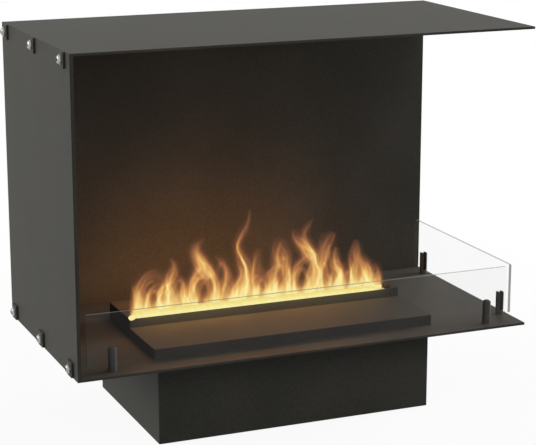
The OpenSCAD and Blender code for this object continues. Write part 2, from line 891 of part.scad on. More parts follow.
module mist_discs() {
  color([0.8, 0.72, 0.5]) at_discs() difference() {
    cylinder(d = disc_d, h = disc_t);
    translate([0, 0, disc_t - 0.4]) cylinder(d = disc_d * 0.6, h = 1);
  }
}

module disc_seals() {
  color([0.12, 0.12, 0.12]) at_discs() translate([0, 0, disc_t]) difference() {
    cylinder(d = disc_d, h = disc_seal_t);
    translate([0, 0, -1]) cylinder(d = disc_d * 0.72, h = disc_seal_t + 2);
  }
}

module float_guide() {
  color([0.85, 0.85, 0.82]) at(guide_x, valve_y, guide_z) {
    cylinder(d = guide_d + 5, h = guide_foot);
    cylinder(d = guide_d, h = guide_top + guide_cap);
    translate([0, 0, guide_top]) cylinder(d = guide_d + 3, h = guide_cap);
  }
}

module water_float() {
  color([0.9, 0.9, 0.9]) at(guide_x, valve_y, float_z) difference() {
    cylinder(d = float_d, h = float_h);
    translate([0, 0, -1]) cylinder(d = guide_d + float_play, h = float_h + 2);
  }
}

module at_fan_screws() {
  for (sx = [-1, 1]) {
    for (sz = [-1, 1]) {
      at(fan_x + sx * (fan_w / 2 - fan_screw_in), fan_y, fan_z + sz * (fan_w / 2 - fan_screw_in)) children();
    }
  }
}

module fan_frame() {
  color(black) difference() {
    union() {
      difference() {
        at(fan_x - fan_w / 2, fan_y, fan_z + fan_w / 2) rotate([-90, 0, 0]) {
          rounded_block(fan_w, fan_w, fan_dep, 4);
        }
        at(fan_x, fan_y - 1, fan_z) rod_y(fan_bore, fan_dep + 2);
      }
      at(fan_x, fan_y + fan_dep - motor_t, fan_z) rod_y(motor_d, motor_t);
      for (a = [0 : 90 : 270]) {
        at(fan_x, fan_y + fan_dep - strut_w, fan_z) rotate([0, a, 0]) {
          translate([motor_d / 2 - 1, 0, -strut_w / 2]) {
            cube([(fan_bore - motor_d) / 2 + 2, strut_w - 0.5, strut_w]);
          }
        }
      }
    }
    at(fan_x, fan_y + fan_dep - motor_t - 1, fan_z) rod_y(shaft_d + shaft_play, motor_t + 2);
    at_fan_screws() translate([0, -1, 0]) rod_y(fan_screw_d + hole_play, fan_dep + 2);
  }
}

module fan_rotor() {
  blade_l = fan_dep - 8;
  blade_t = 1.6;
  tip_d = fan_bore - 2 * tip_gap;
  color([0.09, 0.09, 0.09]) at(fan_x, fan_y + 2, fan_z) {
    rod_y(hub_d, blade_l + 1);
    rod_y(shaft_d, fan_dep - 2.5);
    intersection() {
      rod_y(tip_d, blade_l);
      for (i = [0 : blade_n - 1]) {
        rotate([0, i * 360 / blade_n, 0]) translate([hub_d / 2 - 1, blade_l / 2, 0]) rotate([35, 0, 0]) {
          translate([0, -blade_l, -blade_t / 2]) cube([fan_w / 2, 2 * blade_l, blade_t]);
        }
      }
    }
  }
}

module fan_screws() {
  color(zinc) at_fan_screws() translate([0, fan_dep, 0]) rotate([90, 0, 0]) {
    pan_screw(fan_screw_d, fan_dep + wall_t);
  }
}

module power_supply() {
  x = ins_cx + supply_off;
  y = tub_back_y - supply_d;
  color([0.55, 0.56, 0.57]) difference() {
    at(x, y, floor_z) rounded_block(supply_w, supply_d, supply_h, supply_r);
    for (i = [0 : cool_n - 1]) {
      slab(x + supply_w / 2 + (i - cool_n / 2) * cool_pitch, y - 1, floor_z + supply_h / 4,
        [cool_w, cool_dep + 1, supply_h / 2]);
    }
  }
}

// Board on standoffs: relay, transformer, capacitors and a terminal block
module control_board() {
  x = tub_x + board_in;
  z = floor_z + board_rise;
  face_y = tub_back_y - board_off - board_t;
  color([0.1, 0.35, 0.2]) {
    slab(x, face_y, z, [board_w, board_t, board_h]);
    for (px = [standoff_in, board_w - standoff_in]) {
      for (pz = [standoff_in, board_h - standoff_in]) {
        at(x + px, face_y + board_t / 2, z + pz) rod_y(standoff_d, board_off + board_t / 2);
      }
    }
    on_board(x + standoff_in * 2, face_y, z + relay[2] / 2, relay);
    on_board(x + relay[0] * 2, face_y, z + relay[2] / 2, transformer);
    on_board(x + standoff_in * 2, face_y, z + board_h - terminals[2] * 1.5, terminals);
    for (i = [0 : 2]) {
      at(x + board_w - capacitor_pitch, face_y - capacitor_l, z + (i + 1) * capacitor_pitch) {
        rod_y(capacitor_d, capacitor_l + eps);
      }
    }
  }
}

module on_board(x, y, z, size) {
  slab(x, y - size[1], z, [size[0], size[1] + eps, size[2]]);
}

module power_inlet() {
  w = inlet_w - 2 * inlet_rim;
  h = inlet_h - 2 * inlet_rim;
  color([0.05, 0.05, 0.05]) {
    difference() {
      union() {
        at(inlet_x - inlet_w / 2, plinth_back + 2.5, port_z - inlet_h / 2) rotate([90, 0, 0]) {
          rounded_block(inlet_w, inlet_h, 2.5, 3);
        }
        slab(inlet_x - w / 2, plinth_back - 18, port_z - h / 2, [w, 19, h]);
      }
      at(inlet_x - w / 2 + 2, plinth_back + 3, port_z - h / 2 + 2) rotate([90, 0, 0]) {
        rounded_block(w - 4, h - 4, 18.5, 2);
      }
    }
    for (p = [[-7, -1], [0, 2.5], [7, -1]]) {
      slab(inlet_x + p[0] - 1, plinth_back - 16, port_z + p[1] - 2, [2, 12, 4]);
    }
  }
}

module switch_frame() {
  w = rocker_frame_w;
  h = rocker_frame_h;
  rim = switch_rim;
  color([0.05, 0.05, 0.05]) difference() {
    union() {
      at(switch_x - w / 2, plinth_back + 1.5, port_z - h / 2) rotate([90, 0, 0]) rounded_block(w, h, 1.5, 1);
      slab(switch_x - w / 2 + rim, plinth_back - 14, port_z - h / 2 + rim, [w - 2 * rim, 15, h - 2 * rim]);
    }
    slab(switch_x - w / 2 + rim + 1.2, plinth_back - 11, port_z - h / 2 + rim + 1,
      [w - 2 * rim - 2.4, 15, h - 2 * rim - 2]);
    at(switch_x - w / 2, pivot_y, port_z) rod_x(pivot_d + pivot_play, w);
  }
}

module rocker() {
  w = rocker_frame_w - 6;
  h = rocker_frame_h - 7.4;
  t = rocker_turn / 2;
  color([0.5, 0.06, 0.05]) at(switch_x, pivot_y, port_z) {
    rotate([t, 0, 0]) {
      translate([-w / 2, 0, 0]) rotate([90, 0, 90]) linear_extrude(w) polygon([
        [-2, -3], [4, -h / 2], [6 + h / 2 * tan(t), -h / 2], [5.4, 0],
        [6 + h / 2 * tan(t), h / 2], [4, h / 2], [-2, 3]
      ]);
      translate([-w / 2 - 1, 0, 0]) rod_x(pivot_d, w + 2);
    }
  }
}

hearth_plate();
top_plate();
side_panel();
side_liner();
back_panel();
back_screws();
back_nuts();
clamp_plates();
side_screws();
side_washers();
side_nuts();
plinth_shell();
plinth_bolts();
rear_cover();
cover_screws();
glass_posts();
post_screws();
post_pads();
front_glass();
side_glass();
insert_tub();
vapour_head();
light_bar();
light_lens();
tank_cover();
water_tank();
valve_cap();
valve_stem();
valve_seal();
mist_basin();
mist_discs();
disc_seals();
float_guide();
water_float();
fan_frame();
fan_rotor();
fan_screws();
power_supply();
control_board();
power_inlet();
switch_frame();
rocker();
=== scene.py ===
import math
import random

import bmesh
import bpy
import numpy as np
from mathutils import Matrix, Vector


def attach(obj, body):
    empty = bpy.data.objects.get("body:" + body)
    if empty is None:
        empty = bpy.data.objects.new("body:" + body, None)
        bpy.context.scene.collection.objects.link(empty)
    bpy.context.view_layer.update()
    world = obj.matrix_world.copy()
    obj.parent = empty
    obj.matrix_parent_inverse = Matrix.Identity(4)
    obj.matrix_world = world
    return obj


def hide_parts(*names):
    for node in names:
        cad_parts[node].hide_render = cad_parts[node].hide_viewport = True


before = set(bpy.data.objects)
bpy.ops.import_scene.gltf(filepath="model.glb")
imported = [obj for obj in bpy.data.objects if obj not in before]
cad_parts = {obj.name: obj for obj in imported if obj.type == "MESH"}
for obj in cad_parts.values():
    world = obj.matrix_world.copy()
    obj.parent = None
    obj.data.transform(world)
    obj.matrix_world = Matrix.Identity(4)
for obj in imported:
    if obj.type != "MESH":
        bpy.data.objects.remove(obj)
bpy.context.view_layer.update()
print("frame loaded")

# Camera at the photograph's angle
cameraLook = {
    "place": (-1.12457, -2.71762, 1.04410), "aim": (0.37366, 0.89594, -0.24012), "lens": 118.43, "sensor": 36,
    "far": 60, "clearLayers": 48}
cameraData = bpy.data.cameras.new("camera")
cameraData.lens = cameraLook["lens"]
cameraData.sensor_width = cameraLook["sensor"]
cameraData.clip_end = cameraLook["far"]
camera = bpy.data.objects.new("camera", cameraData)
camera.location = cameraLook["place"]
camera.rotation_euler = Vector(cameraLook["aim"]).to_track_quat("-Z", "Y").to_euler()
bpy.context.scene.collection.objects.link(camera)
bpy.context.scene.camera = camera
bpy.context.scene.view_settings.view_transform = "Standard"
bpy.context.scene.cycles.transparent_max_bounces = cameraLook["clearLayers"]


# Node helpers
def newTree(name):
    mat = bpy.data.materials.new(name)
    mat.use_nodes = True
    tree = mat.node_tree
    tree.nodes.clear()
    out = tree.nodes.new("ShaderNodeOutputMaterial")
    skin = tree.nodes.new("ShaderNodeBsdfPrincipled")
    tree.links.new(skin.outputs["BSDF"], out.inputs["Surface"])
    return mat, tree, skin


def objectCoords(tree, stretch=(1, 1, 1)):
    coords = tree.nodes.new("ShaderNodeTexCoord")
    mapping = tree.nodes.new("ShaderNodeMapping")
    mapping.inputs["Scale"].default_value = stretch
    tree.links.new(coords.outputs["Object"], mapping.inputs["Vector"])
    return mapping.outputs["Vector"]


def noiseOf(tree, vector, scale, detail=3.0, roughness=0.5):
    noise = tree.nodes.new("ShaderNodeTexNoise")
    noise.inputs["Scale"].default_value = scale
    noise.inputs["Detail"].default_value = detail
    noise.inputs["Roughness"].default_value = roughness
    tree.links.new(vector, noise.inputs["Vector"])
    return noise.outputs["Fac"]


def spread(tree, value, low, high, start=0.3, end=0.7):
    remap = tree.nodes.new("ShaderNodeMapRange")
    remap.inputs["From Min"].default_value = start
    remap.inputs["From Max"].default_value = end
    remap.inputs["To Min"].default_value = low
    remap.inputs["To Max"].default_value = high
    tree.links.new(value, remap.inputs["Value"])
    return remap.outputs["Result"]


def ramp(tree, value, stops):
    node = tree.nodes.new("ShaderNodeValToRGB")
    while len(node.color_ramp.elements) < len(stops):
        node.color_ramp.elements.new(0.5)
    for element, (place, color) in zip(node.color_ramp.elements, stops):
        element.position = place
        element.color = (*color, 1)
    tree.links.new(value, node.inputs["Fac"])
    return node.outputs["Color"]


def maths(tree, kind, a, b):
    node = tree.nodes.new("ShaderNodeMath")
    node.operation = kind
    for socket, given in zip(node.inputs, (a, b)):
        if isinstance(given, (int, float)):
            socket.default_value = given
        else:
            tree.links.new(given, socket)
    return node.outputs["Value"]


def bump(tree, skin, height, depth, strength, edge, samples=4):
    node = tree.nodes.new("ShaderNodeBump")
    node.inputs["Distance"].default_value = depth
    node.inputs["Strength"].default_value = strength
    tree.links.new(height, node.inputs["Height"])
    rounding = tree.nodes.new("ShaderNodeBevel")
    rounding.samples = samples
    rounding.inputs["Radius"].default_value = edge
    tree.links.new(rounding.outputs["Normal"], node.inputs["Normal"])
    tree.links.new(node.outputs["Normal"], skin.inputs["Normal"])


def tint(tree, skin, value, look, start=0.3, end=0.7):
    colour = ramp(tree, value, [(start, look["dark"]), (end, look["light"])])
    tree.links.new(colour, skin.inputs["Base Color"])


# Finishes: first what all finishes of one kind share, then one function for each kind
coatWay = {"broad": 0.55, "fine": 0.45, "start": 0.38, "end": 0.62, "strength": 1.0}
metalWay = {"cloud": 30, "start": 0.3, "end": 0.7, "strength": 0.6}
plasticWay = {"cloud": 25, "strength": 0.7}
glassWay = {"stretch": (1, 1, 0.4)}


def powderCoat(name, look):
    mat, tree, skin = newTree(name)
    vector = objectCoords(tree)
    mottle = noiseOf(tree, vector, look["mottle"], 2)
    patches = maths(tree, "MULTIPLY", noiseOf(tree, vector, look["cloud"], 4), coatWay["broad"])
    both = maths(tree, "ADD", patches, maths(tree, "MULTIPLY", mottle, coatWay["fine"]))
    peel = noiseOf(tree, vector, look["peel"], 2)
    tint(tree, skin, both, look, coatWay["start"], coatWay["end"])
    tree.links.new(spread(tree, both, *look["rough"]), skin.inputs["Roughness"])
    skin.inputs["Specular IOR Level"].default_value = look["shine"]
    bump(tree, skin, peel, look["peelDepth"], coatWay["strength"], look["edge"])
    return mat


def brushedMetal(name, look):
    mat, tree, skin = newTree(name)
    brushed = noiseOf(tree, objectCoords(tree, look["grain"]), look["scale"], 4)
    patches = noiseOf(tree, objectCoords(tree), metalWay["cloud"])
    # Painted shade: where the recess attribute is set, the colour falls to the near-black recess colour
    if "paintedRecessShade" in look:
        recess = tree.nodes.new("ShaderNodeAttribute")
        recess.attribute_name = "recess"
        patches = maths(tree, "SUBTRACT", patches, recess.outputs["Fac"])
    stops = [(0.0, look.get("paintedRecessShade", look["dark"])), (metalWay["start"], look["dark"]),
             (metalWay["end"], look["light"])]
    tree.links.new(ramp(tree, patches, stops), skin.inputs["Base Color"])
    tree.links.new(spread(tree, brushed, *look["rough"]), skin.inputs["Roughness"])
    skin.inputs["Metallic"].default_value = 1.0
    bump(tree, skin, brushed, look["depth"], metalWay["strength"], look["edge"])
    return mat


def mouldedPlastic(name, look):
    mat, tree, skin = newTree(name)
    vector = objectCoords(tree)
    grain = noiseOf(tree, vector, look["grain"], 2)
    tint(tree, skin, noiseOf(tree, vector, plasticWay["cloud"]), look)
    tree.links.new(spread(tree, grain, *look["rough"]), skin.inputs["Roughness"])
    skin.inputs["Transmission Weight"].default_value = look.get("clear", 0.0)
    bump(tree, skin, grain, look["depth"], plasticWay["strength"], look["edge"])
    return mat


def clearGlass(name, look):
    mat, tree, skin = newTree(name)
    smear = noiseOf(tree, objectCoords(tree, glassWay["stretch"]), look["smear"])
    tint(tree, skin, smear, look)
    tree.links.new(spread(tree, smear, *look["rough"]), skin.inputs["Roughness"])
    skin.inputs["Transmission Weight"].default_value = look["clear"]
    skin.inputs["IOR"].default_value = look["bend"]
    skin.inputs["Alpha"].default_value = look["body"]
    return mat


graphite = powderCoat("graphiteCoat", {
    "dark": (0.073, 0.072, 0.063), "light": (0.103, 0.1, 0.088), "cloud": 6.0, "rough": (0.5, 0.64),
    "shine": 0.05, "peel": 700.0, "peelDepth": 0.00008, "edge": 0.0006, "mottle": 260.0})
# Painted light: the hearth plate's coat is the graphite coat made lighter and warmer, standing for the lamps'
# and flames' light on the hearth
litHearthCoat = powderCoat("litHearthCoat", {
    "dark": (0.08, 0.075, 0.065), "light": (0.115, 0.107, 0.094), "cloud": 6.0, "rough": (0.5, 0.64),
    "shine": 0.05, "peel": 700.0, "peelDepth": 0.00008, "edge": 0.0006, "mottle": 260.0})
insertCoat = powderCoat("insertCoat", {
    "dark": (0.068, 0.064, 0.056), "light": (0.09, 0.084, 0.073), "cloud": 9.0, "rough": (0.42, 0.55),
    "shine": 0.04, "peel": 800.0, "peelDepth": 0.00006, "edge": 0.0005, "mottle": 300.0})
# Painted light: the posts' coat is a lighter copy of the black coat, standing for the light from the right on
# the posts
litPostCoat = powderCoat("litPostCoat", {
    "dark": (0.09, 0.087, 0.08), "light": (0.125, 0.121, 0.11), "cloud": 40.0, "rough": (0.4, 0.55),
    "shine": 0.15, "peel": 1500.0, "peelDepth": 0.00003, "edge": 0.0004, "mottle": 500.0})
galvanised = brushedMetal("galvanisedSheet", {
    "dark": (0.42, 0.43, 0.45), "light": (0.6, 0.61, 0.63), "grain": (1, 1, 1), "scale": 90.0,
    "rough": (0.35, 0.55), "depth": 0.00004, "edge": 0.0004})
# The near-black recess colour is painted shade in the screw sockets
zincSteel = brushedMetal("zincSteel", {
    "dark": (0.42, 0.43, 0.44), "light": (0.56, 0.57, 0.58), "paintedRecessShade": (0.05, 0.05, 0.05), "grain": (1, 1, 1),
    "scale": 400.0, "rough": (0.28, 0.45), "depth": 0.00003, "edge": 0.0003})
# The near-black recess colour is painted shade in the screw sockets
brightSteel = brushedMetal("brightSteel", {
    "dark": (0.3, 0.3, 0.295), "light": (0.4, 0.4, 0.39), "paintedRecessShade": (0.03, 0.03, 0.03), "grain": (1, 1, 1),
    "scale": 300.0, "rough": (0.16, 0.28), "depth": 0.00001, "edge": 0.0004})
satinAluminium = brushedMetal("satinAluminium", {
    "dark": (0.58, 0.59, 0.6), "light": (0.7, 0.71, 0.72), "grain": (1, 8, 8), "scale": 120.0,
    "rough": (0.3, 0.42), "depth": 0.00002, "edge": 0.0004})
discMetal = brushedMetal("discMetal", {
    "dark": (0.6, 0.5, 0.28), "light": (0.78, 0.68, 0.42), "grain": (1, 1, 1), "scale": 500.0,
    "rough": (0.25, 0.4), "depth": 0.00002, "edge": 0.0002})
basinPlastic = mouldedPlastic("basinPlastic", {
    "dark": (0.2, 0.21, 0.22), "light": (0.25, 0.26, 0.27), "grain": 700.0, "rough": (0.42, 0.58),
    "depth": 0.00003, "edge": 0.0005})
tankPlastic = mouldedPlastic("tankPlastic", {
    "dark": (0.16, 0.18, 0.2), "light": (0.2, 0.22, 0.24), "grain": 500.0, "rough": (0.12, 0.22),
    "depth": 0.00001, "edge": 0.0008, "clear": 0.35})
bluePlastic = mouldedPlastic("bluePlastic", {
    "dark": (0.03, 0.1, 0.24), "light": (0.04, 0.13, 0.3), "grain": 900.0, "rough": (0.35, 0.5),
    "depth": 0.00002, "edge": 0.0004})
whitePlastic = mouldedPlastic("whitePlastic", {
    "dark": (0.68, 0.68, 0.64), "light": (0.78, 0.78, 0.74), "grain": 900.0, "rough": (0.3, 0.45),
    "depth": 0.00001, "edge": 0.0003})
blackPlastic = mouldedPlastic("blackPlastic", {
    "dark": (0.014, 0.014, 0.014), "light": (0.022, 0.022, 0.022), "grain": 900.0, "rough": (0.35, 0.5),
    "depth": 0.00003, "edge": 0.0003})
redPlastic = mouldedPlastic("redPlastic", {
    "dark": (0.3, 0.012, 0.01), "light": (0.38, 0.02, 0.015), "grain": 700.0, "rough": (0.18, 0.3),
    "depth": 0.00001, "edge": 0.0004})
greenBoard = mouldedPlastic("greenBoard", {
    "dark": (0.01, 0.08, 0.03), "light": (0.016, 0.12, 0.05), "grain": 600.0, "rough": (0.25, 0.4),
    "depth": 0.00002, "edge": 0.0002})
softRubber = mouldedPlastic("softRubber", {
    "dark": (0.012, 0.012, 0.012), "light": (0.02, 0.02, 0.02), "grain": 1200.0, "rough": (0.6, 0.75),
    "depth": 0.00004, "edge": 0.0002})
paneGlass = clearGlass("paneGlass", {
    "dark": (0.975, 0.98, 0.976), "light": (0.988, 0.99, 0.987), "smear": 12.0, "rough": (0.0, 0.01),
    "clear": 0.98, "bend": 1.01, "body": 1.0})
paneEdge = clearGlass("paneEdge", {
    "dark": (0.17, 0.175, 0.165), "light": (0.24, 0.245, 0.235), "smear": 60.0, "rough": (0.3, 0.45),
    "clear": 0.0, "bend": 1.25, "body": 0.75})
# Painted highlight: the upward ground edge is a lighter copy of the edge glass, as if lit from above
paneTopHighlight = clearGlass("paneTopHighlight", {
    "dark": (0.4, 0.405, 0.39), "light": (0.52, 0.525, 0.51), "smear": 60.0, "rough": (0.3, 0.45),
    "clear": 0.0, "bend": 1.3, "body": 0.65})


def litDiffuser(name, look):
    mat, tree, skin = newTree(name)
    beads = noiseOf(tree, objectCoords(tree, look["stretch"]), look["beads"], 1)
    colour = ramp(tree, beads, [(look["start"], look["dark"]), (look["end"], look["light"])])
    tree.links.new(colour, skin.inputs["Emission Color"])
    skin.inputs["Emission Strength"].default_value = look["glow"]
    skin.inputs["Base Color"].default_value = (*look["skin"], 1)
    skin.inputs["Roughness"].default_value = look["rough"]
    return mat


litLens = litDiffuser("litLens", {
    "dark": (1.0, 0.78, 0.3), "light": (1.0, 0.9, 0.5), "start": 0.35, "end": 0.65, "beads": 60.0,
    "stretch": (1, 0.2, 0.2), "glow": 1.0, "skin": (0.9, 0.85, 0.7), "rough": 0.4})
print("finishes made")

nodeFinish = {
    "hearth_plate": litHearthCoat, "top_plate": graphite, "side_panel": graphite, "back_panel": graphite,
    "side_liner": graphite, "clamp_plates": graphite, "plinth_shell": graphite, "rear_cover": graphite,
    "vapour_head": insertCoat, "tank_cover": insertCoat, "glass_posts": litPostCoat, "side_washers": brightSteel,
    "back_nuts": zincSteel, "side_nuts": zincSteel, "plinth_bolts": zincSteel, "post_screws": zincSteel,
    "fan_screws": zincSteel, "post_pads": softRubber, "valve_seal": softRubber, "disc_seals": softRubber,
    "insert_tub": galvanised, "light_bar": satinAluminium, "power_supply": satinAluminium,
    "light_lens": litLens, "water_tank": tankPlastic, "valve_cap": bluePlastic, "valve_stem": whitePlastic,
    "float_guide": whitePlastic, "water_float": whitePlastic, "mist_basin": basinPlastic,
    "mist_discs": discMetal, "fan_frame": blackPlastic, "fan_rotor": blackPlastic,
    "control_board": greenBoard, "power_inlet": blackPlastic, "switch_frame": blackPlastic,
    "rocker": redPlastic}
for node, finish in nodeFinish.items():
    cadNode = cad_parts[node]
    cadNode.data.materials.clear()
    cadNode.data.materials.append(finish)


def addPiece(name, verts, faces, finish, body):
    mesh = bpy.data.meshes.new(name)
    mesh.from_pydata(verts, [], faces)
    mesh.update()
    piece = bpy.data.objects.new(name, mesh)
    bpy.context.scene.collection.objects.link(piece)
    mesh.materials.append(finish)
    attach(piece, body)
    return piece


# Glass panes: the CAD panes with fine arrises and ground edges, left clear at the foot and the far end;
# upward edges take a lighter glass, a painted highlight
paneLook = {
    "weld": 1e-6, "flat": 0.01, "sharp": 40, "arris": 0.0004, "arrisSteps": 2, "clearEnd": 0.003,
    "broadside": 0.9, "upward": 0.5}


def glassPane(name, node, body, across):
    look = paneLook
    work = bmesh.new()
    work.from_mesh(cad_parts[node].data)
    bmesh.ops.remove_doubles(work, verts=work.verts, dist=look["weld"])
    bmesh.ops.dissolve_limit(work, angle_limit=look["flat"], verts=work.verts, edges=work.edges)
    rims = [edge for edge in work.edges if edge.calc_face_angle(0) > math.radians(look["sharp"])]
    bmesh.ops.bevel(work, geom=rims, offset=look["arris"], segments=look["arrisSteps"], profile=0.5,
                    affect="EDGES")
    foot = min(vert.co.z for vert in work.verts) + look["clearEnd"]
    end = max(vert.co[1 - across] for vert in work.verts) - look["clearEnd"]
    for face in work.faces:
        middle = face.calc_center_median()
        hidden = middle.z < foot or middle[1 - across] > end
        if hidden or abs(face.normal[across]) > look["broadside"]:
            face.material_index = 0
        else:
            # Upward edge faces take the lighter glass, a painted highlight
            face.material_index = 2 if face.normal.z > look["upward"] else 1
    mesh = bpy.data.meshes.new(name)
    work.to_mesh(mesh)
    work.free()
    mesh.materials.append(paneGlass)
    mesh.materials.append(paneEdge)
    mesh.materials.append(paneTopHighlight)
    piece = bpy.data.objects.new(name, mesh)
    bpy.context.scene.collection.objects.link(piece)
    piece.visible_shadow = False
    piece.visible_diffuse = False
    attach(piece, body)
    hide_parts(node)


glassPane("frontPane", "front_glass", "pane_front", 1)
glassPane("sidePane", "side_glass", "pane_side", 0)
print("panes made")


# Screws in rows: a lathed head with a recess, set out by Geometry Nodes, each turned by chance; the recess
# carries painted shade
headLook = {"around": 48, "wallTaper": 0.97, "floorCore": 0.3, "floorDrop": 1.08, "sharp": 35}
turnLook = {"most": 1.047, "seed": 5}


def lathedScrew(name, look):
    around = headLook["around"]
    turns = [2 * math.pi * k / around for k in range(around)]
    rings = [[(radius * math.cos(a), radius * math.sin(a), height) for a in turns]
             for radius, height in look["profile"]]
    floor = look["rim"] - look["deep"]
    core = look["rim"] - look["deep"] * headLook["floorDrop"]
    for scale, height in ((1.0, look["rim"]), (headLook["wallTaper"], floor), (headLook["floorCore"], core)):
        reaches = [scale * look["recess"](a) for a in turns]
        rings.append([(reach * math.cos(a), reach * math.sin(a), height) for reach, a in zip(reaches, turns)])
    work = bmesh.new()
    loops = [[work.verts.new(point) for point in ring] for ring in rings]
    for low, high in zip(loops, loops[1:]):
        for k in range(around):
            work.faces.new((low[k], low[(k + 1) % around], high[(k + 1) % around], high[k]))
    work.faces.new(loops[0][::-1])
    work.faces.new(loops[-1])
    bmesh.ops.recalc_face_normals(work, faces=work.faces)
    mesh = bpy.data.meshes.new(name)
    work.to_mesh(mesh)
    work.free()
    for face in mesh.polygons:
        face.use_smooth = True
    mesh.set_sharp_from_angle(angle=math.radians(headLook["sharp"]))
    # The recess attribute marks where the finish paints shade into the socket
    deep = mesh.attributes.new("recess", "FLOAT", "POINT")
    firstDeep = around * len(look["profile"])
    deep.data.foreach_set("value", [float(k >= firstDeep) for k in range(len(mesh.vertices))])
    return bpy.data.objects.new(name, mesh)


def hexRecess(flats):
    return lambda a: flats / 2 / math.cos((a % (math.pi / 3)) - math.pi / 6)


def crossRecess(long, narrow):
    def radius(a):
        turn = abs((a + math.pi / 4) % (math.pi / 2) - math.pi / 4)
        return max(narrow, min(long, narrow / max(math.sin(turn), 0.001)))
    return radius


def screwRows(finish):
    tree = bpy.data.node_groups.new("screwRows", "GeometryNodeTree")
    face = tree.interface
    face.new_socket("Screw", in_out="INPUT", socket_type="NodeSocketObject")
    for label in ("Row Length", "Column Height"):
        face.new_socket(label, in_out="INPUT", socket_type="NodeSocketFloat")
    for label in ("Per Row", "Per Column"):
        face.new_socket(label, in_out="INPUT", socket_type="NodeSocketInt")
    for label in ("Middle", "Plane Turn", "Screw Turn"):
        face.new_socket(label, in_out="INPUT", socket_type="NodeSocketVector")
    face.new_socket("Geometry", in_out="OUTPUT", socket_type="NodeSocketGeometry")
    given = tree.nodes.new("NodeGroupInput")
    result = tree.nodes.new("NodeGroupOutput")
    grid = tree.nodes.new("GeometryNodeMeshGrid")
    place = tree.nodes.new("GeometryNodeTransform")
    screw = tree.nodes.new("GeometryNodeObjectInfo")
    spots = tree.nodes.new("GeometryNodeInstanceOnPoints")
    chance = tree.nodes.new("FunctionNodeRandomValue")
    chance.data_type = "FLOAT_VECTOR"
    chance.inputs["Min"].default_value = (0, 0, 0)
    chance.inputs["Max"].default_value = (0, 0, turnLook["most"])
    chance.inputs["Seed"].default_value = turnLook["seed"]
    turn = tree.nodes.new("GeometryNodeRotateInstances")
    turn.inputs["Local Space"].default_value = True
    real = tree.nodes.new("GeometryNodeRealizeInstances")
    skin = tree.nodes.new("GeometryNodeSetMaterial")
    skin.inputs["Material"].default_value = finish
    join = tree.links.new
    join(given.outputs["Row Length"], grid.inputs["Size X"])
    join(given.outputs["Column Height"], grid.inputs["Size Y"])
    join(given.outputs["Per Row"], grid.inputs["Vertices X"])
    join(given.outputs["Per Column"], grid.inputs["Vertices Y"])
    join(grid.outputs["Mesh"], place.inputs["Geometry"])
    join(given.outputs["Middle"], place.inputs["Translation"])
    join(given.outputs["Plane Turn"], place.inputs["Rotation"])
    join(given.outputs["Screw"], screw.inputs["Object"])
    join(place.outputs["Geometry"], spots.inputs["Points"])
    join(screw.outputs["Geometry"], spots.inputs["Instance"])
    join(given.outputs["Screw Turn"], spots.inputs["Rotation"])
    join(spots.outputs["Instances"], turn.inputs["Instances"])
    join([o for o in chance.outputs if o.enabled][0], turn.inputs["Rotation"])
    join(turn.outputs["Instances"], real.inputs["Geometry"])
    join(real.outputs["Geometry"], skin.inputs["Geometry"])
    join(skin.outputs["Geometry"], result.inputs["Geometry"])
    return tree


def setScrews(name, node, body, look, finish):
    source = lathedScrew(name + "Source", look)
    bpy.context.scene.collection.objects.link(source)
    holder = bpy.data.objects.new(name + "Rows", bpy.data.meshes.new(name + "Rows"))
    bpy.context.scene.collection.objects.link(holder)
    rows = holder.modifiers.new("rows", "NODES")
    rows.node_group = screwRows(finish)
    values = {"Screw": source, **look["rows"]}
    for item in rows.node_group.interface.items_tree:
        if item.in_out == "INPUT":
            rows[item.identifier] = values[item.name]
    bpy.context.view_layer.update()
    shape = holder.evaluated_get(bpy.context.evaluated_depsgraph_get())
    mesh = bpy.data.meshes.new_from_object(shape)
    holder.modifiers.clear()
    bpy.data.objects.remove(holder)
    bpy.data.objects.remove(source)
    mesh.name = name
    if not mesh.materials:
        mesh.materials.append(finish)
    piece = bpy.data.objects.new(name, mesh)
    bpy.context.scene.collection.objects.link(piece)
    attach(piece, body)
    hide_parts(node)


sideScrewLook = {
    "profile": [(0.004, -0.0196), (0.004, 0.0), (0.0068, 0.0), (0.007, 0.0002), (0.007, 0.0009),
                (0.0067, 0.0019), (0.0061, 0.0029), (0.0052, 0.0037), (0.0042, 0.0042), (0.0034, 0.0044)],
    "rim": 0.0043, "deep": 0.0026, "recess": hexRecess(0.005),
    "rows": {"Row Length": 0.336, "Column Height": 0.4893, "Per Row": 3, "Per Column": 2,
             "Middle": (-0.4006, 0.002, 0.40065), "Plane Turn": (math.pi / 2, 0.0, math.pi / 2),
             "Screw Turn": (0.0, -math.pi / 2, 0.0)}}
coverScrewLook = {
    "profile": [(0.002, -0.006), (0.002, 0.0), (0.0039, 0.0), (0.004, 0.0002), (0.004, 0.0008),
                (0.0037, 0.0015), (0.0031, 0.0021), (0.0025, 0.0024)],
    "rim": 0.0024, "deep": 0.0012, "recess": crossRecess(0.0021, 0.0006),
    "rows": {"Row Length": 0.472, "Column Height": 0.102, "Per Row": 2, "Per Column": 3,
             "Middle": (0.0005, 0.161, 0.071), "Plane Turn": (math.pi / 2, 0.0, 0.0),
             "Screw Turn": (-math.pi / 2, 0.0, 0.0)}}
setScrews("sideScrewHeads", "side_screws", "base", sideScrewLook, brightSteel)
setScrews("coverScrewHeads", "cover_screws", "base", coverScrewLook, zincSteel)
print("screws set")


# Flames: lit vapour over the slot, on curtains whose glow is gathered from folded strands along flame paths
perMetre = 1000  # paths and fields count in millimetres
tableSize = (97, 89)  # random values, repeated across and upwards


